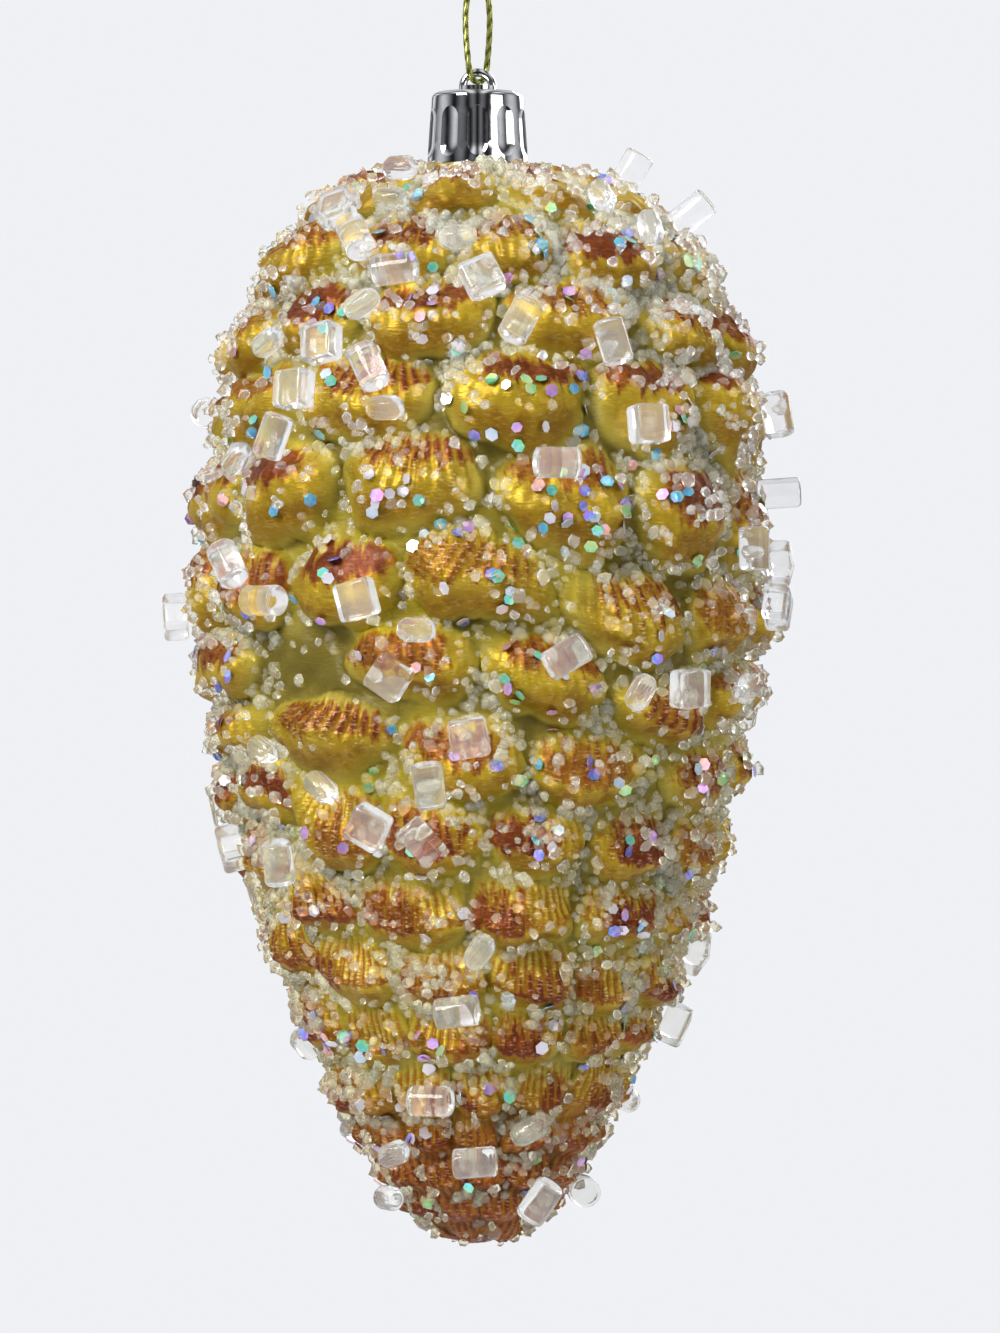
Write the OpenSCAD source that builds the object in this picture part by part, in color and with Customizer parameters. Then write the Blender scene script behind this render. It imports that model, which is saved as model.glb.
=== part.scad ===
// Hanging pine cone ornament. A hollow moulded shell of overlapping scales, a
// fluted crown cap with a hanging eye, a looped cord with its knot, and clear
// pellets and grains stuck on the scales. Millimetres, +Z up. The origin is where the
// cord loop hangs, at the underside of the knot.

/* [Cone] */
// Height of the cone body, from its tip to the foot of the cap
cone_h = 140; // [110:1:180]
// Width across the scale lips at the widest place
cone_d = 76; // [60:1:100]
// How far the largest scale lips stand out from the valleys
lip_out = 4.4; // [2:0.1:5.5]
// How far a lip rises from the middle of its scale to the sides
lip_bow = 1.8; // [0:0.1:3]
// Thickness of the shell behind the valleys
shell_wall = 1.3; // [1.1:0.1:2.5]
// Furthest that the body leans off the cap's axis
drift = 1.2; // [0:0.1:2]
// Width of the flat seat around the foot of the cap
seat_rim = 0.5; // [0.3:0.1:1.5]

/* [Cap] */
// Diameter of the cap at its foot
cap_d = 13.2; // [11:0.1:18]
// Diameter of the cap at its top, before the rounded edge
cap_top_d = 12; // [10.5:0.1:15]
// Height of the cap's fluted body
cap_h = 9.4; // [7:0.1:14]
// Wall thickness of the cap
cap_wall = 1.1; // [0.8:0.1:1.4]
// Radius of the cap's rounded top edge
cap_round = 0.8; // [0.4:0.1:1.6]
// Clearance between the cap and the shell
cap_fit = 0.15; // [0.05:0.05:0.4]
// Number of flutes around the cap
flutes = 10; // [7:1:12]
// Radius of the round tool that each flute is cut with
flute_r = 4; // [3:0.1:6]
// Depth of each flute
flute_depth = 0.38; // [0.1:0.02:0.5]
// Plain band left above and below the flutes
flute_margin = 1; // [0.6:0.1:2]

/* [Neck] */
// Height of the shell's neck, inside the cap
neck_h = 6; // [4:0.1:6.5]
// Wall thickness of the neck
neck_wall = 1; // [0.6:0.1:1.5]

/* [Eye] */
// Diameter of the raised disc on the cap
disc_d = 4.8; // [3:0.1:7]
// Height of the raised disc
disc_h = 0.85; // [0.4:0.05:2]
// Thickness of the eye's ring
eye_wire = 1.1; // [0.8:0.05:1.2]
// Diameter of the hole through the eye
eye_hole = 2.7; // [2.6:0.1:4]

/* [Cord] */
// Diameter of the cord
cord_d = 0.85; // [0.6:0.05:0.9]
// Diameter of the knot
knot_d = 2.8; // [2.4:0.1:4]
// Height of the knot
knot_h = 2.6; // [2:0.1:4]
// Length of the two cord ends above the knot
tail_l = 3; // [1:0.1:6]

/* [Pellets] */
// Diameter of a rod pellet
rod_d = 3.9; // [3:0.1:4.2]
// Length of a rod pellet
rod_l = 5.6; // [4:0.1:6]
// Width of a rod pellet's blunted edges
rod_edge = 0.3; // [0.1:0.05:0.6]
// Side of a block pellet
block_side = 4.8; // [3.5:0.1:5.2]
// Thickness of a block pellet
block_t = 3.2; // [2:0.1:4]
// Length of an oval pellet
oval_l = 4.8; // [3.6:0.1:5.2]
// Width of an oval pellet
oval_d = 3.6; // [2.6:0.1:4]
// Clearance between a pellet and the scales under it
pellet_gap = 0.15; // [0.05:0.05:0.3]
// Number of pellets on the back half
back_pellets = 54; // [20:1:60]

/* [Grains] */
// Side of the smallest coarse grain
grain_small = 0.9; // [0.6:0.05:1.2]
// Side of the largest coarse grain
grain_large = 1.3; // [1:0.05:1.6]
// Number of places for coarse grains around the whole cone
grain_places = 520; // [100:1:600]

/* [Hidden] */

// Outline across the lips, as [share of the height, share of the widest radius]
OUTLINE = [[0, 0.10], [0.04, 0.30], [0.12, 0.475], [0.22, 0.665], [0.33, 0.815],
           [0.46, 0.94], [0.58, 1], [0.70, 0.995], [0.80, 0.94],
           [0.88, 0.84], [0.94, 0.70], [0.975, 0.52], [1, 0.30]];
// Lip size along the height, as [share of the height, share of lip_out]
LIP_SIZE = [[0, 0.35], [0.1, 0.6], [0.35, 0.85], [0.55, 1], [0.9, 1], [1, 0.7]];
// Lean of the body along the height, as [share of the height, share of drift]
DRIFT = [[0, 0.25], [0.65, 0.33], [0.8, 1], [0.94, 1], [1, 0]];
// Part of the way down from one lip to the next that the underside takes
UNDERSIDE = [[0, 0.3], [0.4, 0.34], [0.62, 0.5], [0.75, 0.6], [1, 0.6]];
// Part of the way up from its lip that a round scale takes
UPPERSIDE = 0.55;
// How much the scales are round pillows, where 0 is a straight ramp to a ledge
ROUNDNESS = [[0.25, 0], [0.5, 1]];
// Widest half of a scale, in degrees
WIDEST_HALF = 19;
// Shift of every second row's back scales, as a share of their spacing
STAGGER = 0.22;
// Rise and fall of the back scales' lips, in percent of the cone's height
UNEVEN = 0.6;
// Mean size of a scale and how much it varies
SIZE_MEAN = 0.92;
SIZE_SPREAD = 0.13;
// Powers that shape the scales' sides, rounded edges, ledges, ramps and shoulder
SIDE_POWER = 2.4;
EDGE_POWER = 0.6;
LEDGE_POWER = 0.7;
RAMP_POWER = 1.5;
SHOULDER_POWER = 0.6;
// Steps that spread repeated pieces without a visible pattern
GOLDEN_STEP = 0.618;
SECOND_STEP = 0.7549;
SPIN_STEP = 73;
// The back half that is filled by rule, as its first azimuth and its width
BACK = [97, 166];
// Lowest pellet and grain and the heights that they take up, in percent of the cone's height
PELLET_HEIGHTS = [5, 91];
GRAIN_HEIGHTS = [3, 93];
GRAIN_CROWDING = 0.75;

// Rows of scales from the top down. Each row lists the scales of the front
// half as [azimuth in degrees, lip height in percent of the cone's height],
// where azimuth 0 faces the front and 90 the right. The back is filled evenly.
ROWS = [
    [[-48, 96.8], [-12, 97.2], [26, 97], [60, 96.6]],
    [[-64, 91], [-23, 90.8], [7, 90.6], [34, 90.4], [72, 90.8]],
    [[-71, 82.4], [-45, 84.6], [-16, 84.6], [22, 84.6], [55, 83.2], [80, 82.6]],
    [[-61, 77.4], [-28, 77.4], [8, 77.2], [38, 77.6], [67, 77.8]],
    [[-74, 68.6], [-46, 69.4], [-17, 70.2], [20, 67.6], [47, 66.6], [72, 66]],
    [[-80, 59.4], [-55, 59.2], [-30, 59.6], [-2, 61.4], [35, 56], [61, 56.6]],
    [[-74, 52.6], [-12, 53.4], [12, 52], [45, 48], [66, 50.2]],
    [[-36, 47.5], [0, 44.2], [22, 43], [64, 42.4]],
    [[-61, 42.4], [-36, 37], [-11, 36.8], [15, 36.8], [38, 36], [65, 35.6]],
    [[-66, 35.4], [-50, 31], [-18, 29.8], [12, 30.2], [40, 30.4], [68, 29.6]],
    [[-66, 27.4], [-40, 25], [-10, 24.2], [15, 24.2], [42, 23.2], [65, 23.6]],
    [[-66, 19.6], [-38, 18.4], [-9, 19], [17, 19], [42, 19.4], [65, 19.8]],
    [[-53, 13.4], [-22, 13.6], [0, 13.4], [25, 13.6], [51, 13.4]],
    [[-54, 9.8], [-26, 10], [-2, 9.8], [21, 10], [54, 9.8]],
    [[-50, 6.4], [-21, 6.2], [4, 6.4], [29, 6.4], [60, 6.2]],
    [[-46, 3.2], [-16, 3], [16, 3.2], [55, 3.2]],
    [[-70, 0.8], [-20, 0.7], [35, 0.7], [85, 0.8]]
];
// Scales around each of those rows
AROUND = [10, 12, 13, 13, 13, 13, 13, 13, 13, 13, 13, 13, 12, 12, 11, 9, 6];

// Pellets of the front half, as [azimuth, height in percent, spin]
LYING_RODS = [
    [-21, 87.6, 8], [-33, 90.4, -52], [7, 83.2, 62], [26, 81.4, 100], [14, 71.2, 0],
    [-23, 79.2, 120], [-43, 73.6, 70], [-54, 62.8, -50], [-44, 59.6, 0],
    [16, 54.8, 30], [64, 64.2, 90], [-10, 43.8, 95], [-12, 39, -50],
    [-51, 36.6, 80], [-6, 23.8, 8], [-17, 15.6, 0], [-2, 9.8, 5], [31, 6.2, 70],
    [84, 76.2, 80]
];
STANDING_RODS = [[80, 93.4], [82, 97], [90, 69.4]];
BLOCKS = [
    [-1, 86.8, 25], [-36, 81.6, 10], [-40, 77.6, 5], [33, 74.6, 0], [-23, 59.6, 15],
    [-17, 53, -35], [44, 52, 5], [-2, 47.8, 10], [76, 59.2, 60], [-85, 37.4, 40],
    [82, 21.6, 70], [-46, 93.4, 20], [-86, 58.4, 30], [-24, 40, 60]
];
OVALS = [
    [-33, 97, 0], [-30, 94.4, 0], [-7, 90.6, 10], [38, 94.6, 80], [46, 91.6, 80],
    [-27, 84.6, 30], [-19, 75.8, 0], [-53, 82, 30], [-57, 72, 40], [-12, 57, 0],
    [33, 51.6, 60], [64, 52, 30], [-36, 43.2, -40], [-53, 46.4, -20], [0, 28.8, 60],
    [20, 12.4, 30], [-40, 10.2, 20], [-64, 5.6, 0]
];

// Route of the cord from the knot, through the eye and back
CORD_ROUTE = [
    [-0.6, 0, -0.05], [-0.65, 0, -1], [-1.2, -0.1, -3], [-1.55, -0.35, -6],
    [-1.5, -0.8, -9], [-1.3, -1.35, -11.6], [-1.15, -1.5, -13], [-0.95, -1.25, -14.1],
    [-0.5, -0.66, -14.75], [0, 0, -14.95], [0.5, 0.66, -14.75], [0.95, 1.25, -14.1],
    [1.15, 1.5, -13], [1.3, 1.35, -11.6], [1.5, 0.8, -9], [1.55, 0.35, -6],
    [1.2, 0.1, -3], [0.65, 0, -1], [0.6, 0, -0.05]
];
CORD_SIDES = 8;
CORD_STEPS = 2;
// Middle of the eye's ring below the hanging point
EYE_DROP = 15.6;
// How deep joined shapes of one piece run into each other
SINK = 0.1;
// Lean of the cord's two ends above the knot
TAIL_LEAN = 14;

COLUMNS = 72;
OUTLINE_STEPS = 4;
// Heights of the rings from a lip to the crease under it, and on to the next lip
UNDER_STEPS = [0, 0.55, 1];
SLOPE_STEPS = [0.5];
// Heights of the rings from the cap's seat to the first lips
TOP_STEPS = [0.12, 0.38, 0.7];
$fn = 48;

// Heights of the fixed levels
eye_r = (eye_hole + eye_wire) / 2;
disc_top = -EYE_DROP + SINK;
cap_foot = disc_top - disc_h - cap_h;
tip_z = cap_foot - cap_fit - cone_h;
neck_r = min(cap_d, cap_top_d) / 2 - cap_wall - cap_fit;
seat_r = cap_d / 2 + seat_rim;
cap_taper = atan((cap_d - cap_top_d) / 2 / cap_h);

function smooth(x) = let (c = min(max(x, 0), 1)) c * c * (3 - 2 * c);
function mix(a, b, share) = a + (b - a) * share;
function unit(v) = v / norm(v);
function curve(p, u) =
    0.5 * (2 * p[1] + (p[2] - p[0]) * u + (2 * p[0] - 5 * p[1] + 4 * p[2] - p[3]) * u ^ 2
           + (3 * p[1] - p[0] - 3 * p[2] + p[3]) * u ^ 3);
// A smooth curve through a list of points
function through(points, steps) = let (last = len(points) - 1) [
    for (k = [0 : last - 1], step = [0 : steps - 1])
        curve([points[max(k - 1, 0)], points[k], points[k + 1], points[min(k + 2, last)]],
              step / steps),
    points[last]
];

smooth_outline = through(OUTLINE, OUTLINE_STEPS);
function outline_r(share) = cone_d / 2 * lookup(share, smooth_outline);
function lip_at(share) = lip_out * lookup(share, LIP_SIZE);
function valley_r(share) = max(outline_r(share) - lip_at(share), 1);
function on_cone(azimuth, radius, share) = [
    radius * sin(azimuth) + drift * lookup(share, DRIFT), -radius * cos(azimuth), share * cone_h
];

// A row's front scales, then its back ones, evenly spread and staggered by row
function whole_row(k) = let (
    front = ROWS[k],
    first = front[0],
    last = front[len(front) - 1],
    gap = 360 + first[0] - last[0],
    count = max(round(gap * AROUND[k] / 360) - 1, 1),
    stagger = k % 2 == 0 ? STAGGER : -STAGGER
) concat(front, [
    for (n = [1 : count])
        [last[0] + gap * (n + stagger) / (count + 1),
         mix(last[1], first[1], n / (count + 1)) + UNEVEN * sin(137 * n + 50 * k)]
]);

// The lip of row k at an azimuth, as [height share, distance from the middle of
// its scale as a share of the scale's half width, size of the scale]
function lip(k, row, azimuth) = let (
    count = len(row),
    turn = azimuth < row[0][0] ? azimuth + 360 : azimuth,
    before = max([for (n = [0 : count - 1]) if (row[n][0] <= turn) n]),
    left = row[before],
    right = before < count - 1 ? row[before + 1] : [row[0][0] + 360, row[0][1]],
    gap = right[0] - left[0],
    part = (turn - left[0]) / gap,
    nearest = part < 0.5 ? before : (before + 1) % count,
    reach = min(gap / 2, WIDEST_HALF),
    aside = min(min(part, 1 - part) * gap / reach, 1)
) [mix(left[1], right[1], smooth(part)) / 100, aside,
   SIZE_MEAN + SIZE_SPREAD * sin(137 * nearest + 80 * k)];

whole_rows = [for (k = [0 : len(ROWS) - 1]) whole_row(k)];
function lips(k) = [
    for (i = [0 : COLUMNS - 1]) lip(k, whole_rows[k], i * 360 / COLUMNS - 180)
];
function bow_up(one) = one[0] + lip_bow / cone_h * one[1] ^ 2 * lookup(one[0], LIP_SIZE);

// How far a scale stands out, from 1 at its lip to 0 where away is 1
function across(one) = (1 - one[1] ^ SIDE_POWER) ^ EDGE_POWER;
function bulge(one, away) = let (
    far = min(away, 1),
    ledge = across(one) * (1 - far ^ 2) ^ LEDGE_POWER,
    pillow = max(1 - one[1] ^ SIDE_POWER - far ^ 2, 0) ^ EDGE_POWER
) one[2] * mix(ledge, pillow, lookup(one[0], ROUNDNESS));

// How far the surface stands out at a part of the way from one lip to the next
function stand_out(above, below, part, underside) = let (
    ramp = below[2] * across(below) * part ^ RAMP_POWER,
    pillow = bulge(below, (1 - part) / UPPERSIDE)
) max(bulge(above, part / underside), mix(ramp, pillow, lookup(below[0], ROUNDNESS)));

// Part of the way down at which two round scales meet, where both stand out alike
function crease_between(above, below, underside) = let (
    a = 1 / underside ^ 2,
    b = 1 / UPPERSIDE ^ 2,
    c = above[1] ^ SIDE_POWER - below[1] ^ SIDE_POWER - b,
    root = sqrt(max(b ^ 2 - (a - b) * c, 0))
) min(max((root - b) / (a - b), underside / 4), underside);

function ring_between(above, below, part_of) = [
    for (i = [0 : COLUMNS - 1]) let (
        underside = lookup(above[i][0], UNDERSIDE),
        crease = mix(underside, crease_between(above[i], below[i], underside),
                     lookup(above[i][0], ROUNDNESS)),
        part = part_of < 1 ? part_of * crease : mix(crease, 1, part_of - 1),
        share = mix(bow_up(above[i]), bow_up(below[i]), part),
        out = stand_out(above[i], below[i], part, underside)
    ) on_cone(i * 360 / COLUMNS - 180, valley_r(share) + lip_at(share) * out, share)
];
function plain_ring(radius, share) = [
    for (i = [0 : COLUMNS - 1]) on_cone(i * 360 / COLUMNS - 180, radius, share)
];
function top_ring(first, part) = [
    for (i = [0 : COLUMNS - 1]) let (
        share = mix(1, bow_up(first[i]), part),
        radius = mix(seat_r, valley_r(bow_up(first[i])), part ^ SHOULDER_POWER),
        out = bulge(first[i], 1 - part)
    ) on_cone(i * 360 / COLUMNS - 180, radius + lip_at(share) * out, share)
];
ring_steps = concat(UNDER_STEPS, [for (s = SLOPE_STEPS) 1 + s]);
all_lips = [for (k = [0 : len(ROWS) - 1]) lips(k)];
neck_rings = [
    [for (p = plain_ring(neck_r, 1)) p + [0, 0, neck_h]],
    plain_ring(neck_r, 1),
    plain_ring(seat_r, 1)
];
last_row = len(ROWS) - 1;
shell_rings = concat(
    neck_rings,
    [for (part = TOP_STEPS) top_ring(all_lips[0], part)],
    [for (k = [0 : last_row - 1], step = ring_steps)
        ring_between(all_lips[k], all_lips[k + 1], step)],
    [ring_between(all_lips[last_row], all_lips[last_row], 2)],
    [plain_ring(outline_r(0) * 0.45, 0)]
);

function band(upper, lower) = [
    for (i = [0 : COLUMNS - 1]) let (
        next = (i + 1) % COLUMNS,
        a = upper * COLUMNS + i,
        b = upper * COLUMNS + next,
        c = lower * COLUMNS + i,
        d = lower * COLUMNS + next
    ) each [[a, b, c], [b, d, c]]
];

module cone_body() {
    last = len(shell_rings) - 1;
    points = [for (ring = shell_rings) each ring];
    top = [for (i = [COLUMNS - 1 : -1 : 0]) i];
    bottom = [for (i = [0 : COLUMNS - 1]) last * COLUMNS + i];
    polyhedron(points, concat([top], [for (k = [0 : last - 1]) each band(k, k + 1)], [bottom]));
}

// The hollow follows the valleys, one wall inside them
module cavity() {
    steps = 25;
    shares = [for (k = [2 : steps - 1]) k / steps];
    side = [for (share = shares) [max(valley_r(share) - shell_wall, 1), share * cone_h]];
    bottom = shares[0] * cone_h - shell_wall;
    translate([drift / 2, 0, 0])
        rotate_extrude()
            polygon(concat([[0, bottom]], side, [[0, cone_h * 0.97]]));
    translate([0, 0, cone_h * 0.9])
        cylinder(r = neck_r - neck_wall, h = cone_h * 0.1 + neck_h + 1);
}

module cone_shell() {
    color("#b58a2a")
        translate([0, 0, tip_z])
            difference() {
                cone_body();
                cavity();
            }
}

module cap_outline() {
    edge = [for (a = [0 : 15 : 90])
        [cap_top_d / 2 - cap_round * (1 - cos(a)), cap_h - cap_round * (1 - sin(a))]];
    polygon(concat([[0, 0], [cap_d / 2, 0]], edge, [[0, cap_h]]));
}

module flute() {
    // The round ends of the cut reach this far past the middle of their spheres
    end = sqrt(flute_r ^ 2 - (flute_r - flute_depth) ^ 2);
    length = cap_h - cap_round - 2 * flute_margin - 2 * end;
    translate([cap_d / 2 + flute_r - flute_depth, 0, 0])
        rotate([0, -cap_taper, 0])
            translate([0, 0, flute_margin + end]) {
                cylinder(r = flute_r, h = length);
                sphere(r = flute_r);
                translate([0, 0, length])
                    sphere(r = flute_r);
            }
}

module eye() {
    rotate([90, 0, 0])
        rotate_extrude()
            translate([eye_r, 0])
                circle(d = eye_wire);
}

module cap() {
    color("#c8ccd0")
        difference() {
            union() {
                translate([0, 0, cap_foot])
                    rotate_extrude()
                        cap_outline();
                translate([0, 0, cap_foot + cap_h - SINK])
                    cylinder(d = disc_d, h = disc_h + SINK);
                translate([0, 0, -EYE_DROP])
                    eye();
            }
            translate([0, 0, cap_foot - SINK])
                cylinder(d1 = cap_d - 2 * cap_wall, d2 = cap_top_d - 2 * cap_wall,
                         h = cap_h - cap_round - cap_wall + SINK);
            for (k = [0 : flutes - 1])
                translate([0, 0, cap_foot])
                    rotate([0, 0, (k + 0.5) * 360 / flutes])
                        flute();
        }
}

function cord_ring(points, k) = let (
    last = len(points) - 1,
    ahead = unit(points[min(k + 1, last)] - points[max(k - 1, 0)]),
    side = unit(cross(ahead, [1, 0, 0])),
    other = cross(ahead, side)
) [for (n = [0 : CORD_SIDES - 1]) let (a = n * 360 / CORD_SIDES)
    points[k] + cord_d / 2 * (side * cos(a) + other * sin(a))];

module hanging_cord() {
    route = through(CORD_ROUTE, CORD_STEPS);
    last = len(route) - 1;
    points = [for (k = [0 : last]) each cord_ring(route, k)];
    sides = [
        for (k = [0 : last - 1], n = [0 : CORD_SIDES - 1]) let (
            m = (n + 1) % CORD_SIDES,
            a = k * CORD_SIDES
        ) each [[a + n, a + CORD_SIDES + n, a + m], [a + m, a + CORD_SIDES + n, a + CORD_SIDES + m]]
    ];
    start = [for (n = [0 : CORD_SIDES - 1]) n];
    end = [for (n = [CORD_SIDES - 1 : -1 : 0]) last * CORD_SIDES + n];
    color("#9aa045")
        polyhedron(points, concat([start], sides, [end]));
}

module cord_knot() {
    bulge = [for (a = [-60 : 15 : 60]) [knot_d / 2 * cos(a), knot_h / 2 * (1 + sin(a) / sin(60))]];
    color("#a6ab50") {
        rotate_extrude()
            polygon(concat([[0, 0]], bulge, [[0, knot_h]]));
        for (side = [-1, 1])
            translate([side * knot_d / 6, 0, knot_h - 3 * SINK])
                rotate([0, side * TAIL_LEAN, 0])
                    cylinder(d = cord_d, h = tail_l);
    }
}

// Where a pellet sits, with its outward, sideways and upward directions
function seat(azimuth, share) = let (
    step = 0.02,
    slope = (valley_r(share + step) - valley_r(share - step)) / (2 * step * cone_h),
    outward = unit([sin(azimuth), -cos(azimuth), -slope]),
    sideways = [cos(azimuth), sin(azimuth), 0]
) [on_cone(azimuth, valley_r(share), share), outward, sideways, cross(outward, sideways)];

// Points spread over the shell's facets within reach of a seat
function facet_points(place, azimuth, reach) = let (
    column = round((azimuth + 180) * COLUMNS / 360),
    aside = ceil(asin(min(reach / max(norm([place.x, place.y]), reach), 1)) * COLUMNS / 360) + 1,
    levels = [for (k = [2 : len(shell_rings) - 2]) if (
        abs(shell_rings[k][column % COLUMNS].z - place.z) < reach + 3
        || abs(shell_rings[k + 1][column % COLUMNS].z - place.z) < reach + 3) k]
) [
    for (k = levels, i = [column - aside : column + aside - 1]) let (
        m = (i + COLUMNS) % COLUMNS,
        n = (i + 1 + COLUMNS) % COLUMNS,
        a = shell_rings[k][m],
        b = shell_rings[k][n],
        c = shell_rings[k + 1][m],
        d = shell_rings[k + 1][n]
    ) each [for (s = [0 : 0.125 : 1], t = [0 : 0.125 : 1])
        s + t <= 1.001 ? a + s * (b - a) + t * (c - a) : d + (1 - s) * (c - d) + (1 - t) * (b - d)]
];

// Lowest height at which a pellet clears the facets below it. form(a, b) is how
// far its underside lies below its middle, or less than 0 outside the pellet.
function clear_height(place, azimuth, spin, reach, form) = let (
    along = cos(spin) * place[2] + sin(spin) * place[3],
    across = cos(spin) * place[3] - sin(spin) * place[2],
    heights = [for (p = facet_points(place[0], azimuth, reach)) let (
        q = p - place[0],
        depth = form(q * along, q * across)
    ) if (depth >= 0) q * place[1] + depth]
) max(heights) + pellet_gap;

rod_form = function(a, b) abs(a) < rod_l / 2 + 0.1 && abs(b) < rod_d / 2
    ? sqrt(rod_d ^ 2 / 4 - b ^ 2) : -1;
standing_form = function(a, b) norm([a, b]) < rod_d / 2 + 0.1 ? rod_l / 2 : -1;
block_form = function(a, b) max(abs(a), abs(b)) < block_side / 2 + 0.1 ? block_t / 2 : -1;
oval_form = function(a, b) let (inside = 1 - (2 * a / oval_l) ^ 2 - (2 * b / oval_d) ^ 2)
    inside > 0 ? oval_d / 2 * sqrt(inside) : -1;

module seated(spot, form, reach) {
    azimuth = spot[0];
    spin = spot[2];
    place = seat(azimuth, spot[1] / 100);
    middle = place[0] + place[1] * clear_height(place, azimuth, spin, reach, form);
    lean = asin(place[1].z);
    translate([0, 0, tip_z])
        translate(middle)
            rotate([0, 0, azimuth])
                rotate([-lean, 0, 0])
                    rotate([90, 0, 0])
                        rotate([0, 0, spin])
                            children();
}

// Spots of the back half, spread evenly, every third one for the same kind
function back_spots(kind) = [
    for (k = [0 : back_pellets - 1]) if (k % 3 == kind)
        [BACK[0] + BACK[1] * ((k * GOLDEN_STEP) % 1),
         PELLET_HEIGHTS[0] + PELLET_HEIGHTS[1] * (k + 0.5) / back_pellets,
         (k * SPIN_STEP) % 180]
];

module rod() {
    r = rod_d / 2;
    half = rod_l / 2;
    rotate([0, 90, 0])
        rotate_extrude()
            polygon([[0, -half], [r - rod_edge, -half], [r, rod_edge - half],
                     [r, half - rod_edge], [r - rod_edge, half], [0, half]]);
}

module rod_pellets() {
    color("#e6ebf0") {
        for (spot = concat(LYING_RODS, back_spots(0)))
            seated(spot, rod_form, rod_l / 2 + 1)
                rod();
        for (spot = STANDING_RODS)
            seated([spot[0], spot[1], 0], standing_form, rod_d / 2 + 1)
                rotate([0, 90, 0])
                    rod();
    }
}

module block_pellets() {
    color("#dfe6ec")
        for (spot = concat(BLOCKS, back_spots(1)))
            seated(spot, block_form, block_side * 0.7 + 1)
                cube([block_side, block_side, block_t], center = true);
}

module oval_pellets() {
    half = [for (a = [-62, -30, 30, 62]) [oval_d / 2 * cos(a), oval_l / 2 * sin(a) / sin(62)]];
    color("#eef2f5")
        for (spot = concat(OVALS, back_spots(2)))
            seated(spot, oval_form, oval_l / 2 + 1)
                rotate([0, 90, 0])
                    rotate_extrude()
                        polygon(concat([[0, -oval_l / 2]], half, [[0, oval_l / 2]]));
}

// Places of the coarse grains, a spiral around the whole cone that leaves out
// those that the pellets cover, as [azimuth, height in percent, spin, side]
all_pellets = concat(LYING_RODS, STANDING_RODS, BLOCKS, OVALS,
                     [for (kind = [0 : 2]) each back_spots(kind)]);
pellet_places = [for (spot = all_pellets) seat(spot[0], spot[1] / 100)[0]];
grain_spots = [
    for (k = [0 : grain_places - 1]) let (
        azimuth = 360 * ((k * GOLDEN_STEP) % 1) - 180,
        rise = ((k * SECOND_STEP) % 1) ^ GRAIN_CROWDING,
        height = GRAIN_HEIGHTS[0] + GRAIN_HEIGHTS[1] * rise,
        place = seat(azimuth, height / 100)[0],
        clear = min([for (other = pellet_places) norm(place - other)])
    ) if (clear > (rod_l + rod_d) / 2 + grain_large / 2)
        [azimuth, height, (k * SPIN_STEP) % 120,
         mix(grain_small, grain_large, (k * SPIN_STEP / 100) % 1)]
];

// A grain is a cube that stands on one corner
module coarse_grains() {
    color("#efeadb")
        for (spot = grain_spots) {
            side = spot[3];
            half = side * sqrt(3) / 2;
            reach = half + pellet_gap;
            grain_form = function(a, b) norm([a, b]) < reach ? reach - norm([a, b]) / sqrt(2) : -1;
            seated(spot, grain_form, reach)
                rotate([atan(sqrt(2)), 0, 0])
                    rotate([0, 0, 45])
                        cube(side, center = true);
        }
}

cone_shell();
cap();
hanging_cord();
cord_knot();
rod_pellets();
block_pellets();
oval_pellets();
coarse_grains();
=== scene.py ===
"""Looks of the hanging pine cone ornament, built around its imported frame."""

import math
from functools import cache

import bmesh
import bpy
import numpy as np
from bpy.props import FloatProperty, FloatVectorProperty, IntProperty, PointerProperty
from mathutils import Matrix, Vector


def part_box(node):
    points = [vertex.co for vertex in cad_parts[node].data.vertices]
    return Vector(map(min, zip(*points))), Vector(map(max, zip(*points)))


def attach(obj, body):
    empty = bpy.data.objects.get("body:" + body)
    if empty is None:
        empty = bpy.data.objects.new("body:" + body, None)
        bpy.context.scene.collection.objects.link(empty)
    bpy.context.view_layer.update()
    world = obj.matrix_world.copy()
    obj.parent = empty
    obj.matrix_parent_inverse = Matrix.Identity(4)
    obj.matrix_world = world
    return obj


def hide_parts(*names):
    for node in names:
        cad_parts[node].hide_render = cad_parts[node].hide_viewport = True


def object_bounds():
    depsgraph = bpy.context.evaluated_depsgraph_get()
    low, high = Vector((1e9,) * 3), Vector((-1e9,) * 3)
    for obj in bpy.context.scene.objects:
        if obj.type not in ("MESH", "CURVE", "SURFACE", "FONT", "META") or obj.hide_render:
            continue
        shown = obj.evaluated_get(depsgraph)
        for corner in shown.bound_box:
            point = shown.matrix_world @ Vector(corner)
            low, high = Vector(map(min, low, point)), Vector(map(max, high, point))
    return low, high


bl_info = {
    "name": "Pine Cone Ornament",
    "version": (1, 0, 0),
    "blender": (4, 5, 0),
    "location": "3D View > Sidebar > Ornament",
    "description": "Models a hanging pine cone ornament with its grains, pellets, cap and cord",
    "category": "Object",
}

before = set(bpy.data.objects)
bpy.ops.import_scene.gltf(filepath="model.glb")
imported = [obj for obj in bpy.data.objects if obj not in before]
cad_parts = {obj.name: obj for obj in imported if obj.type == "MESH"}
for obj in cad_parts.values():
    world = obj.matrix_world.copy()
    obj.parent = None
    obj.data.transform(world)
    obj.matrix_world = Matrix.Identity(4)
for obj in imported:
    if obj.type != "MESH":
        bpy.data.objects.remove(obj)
cad_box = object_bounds()
MM = 0.001

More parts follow.
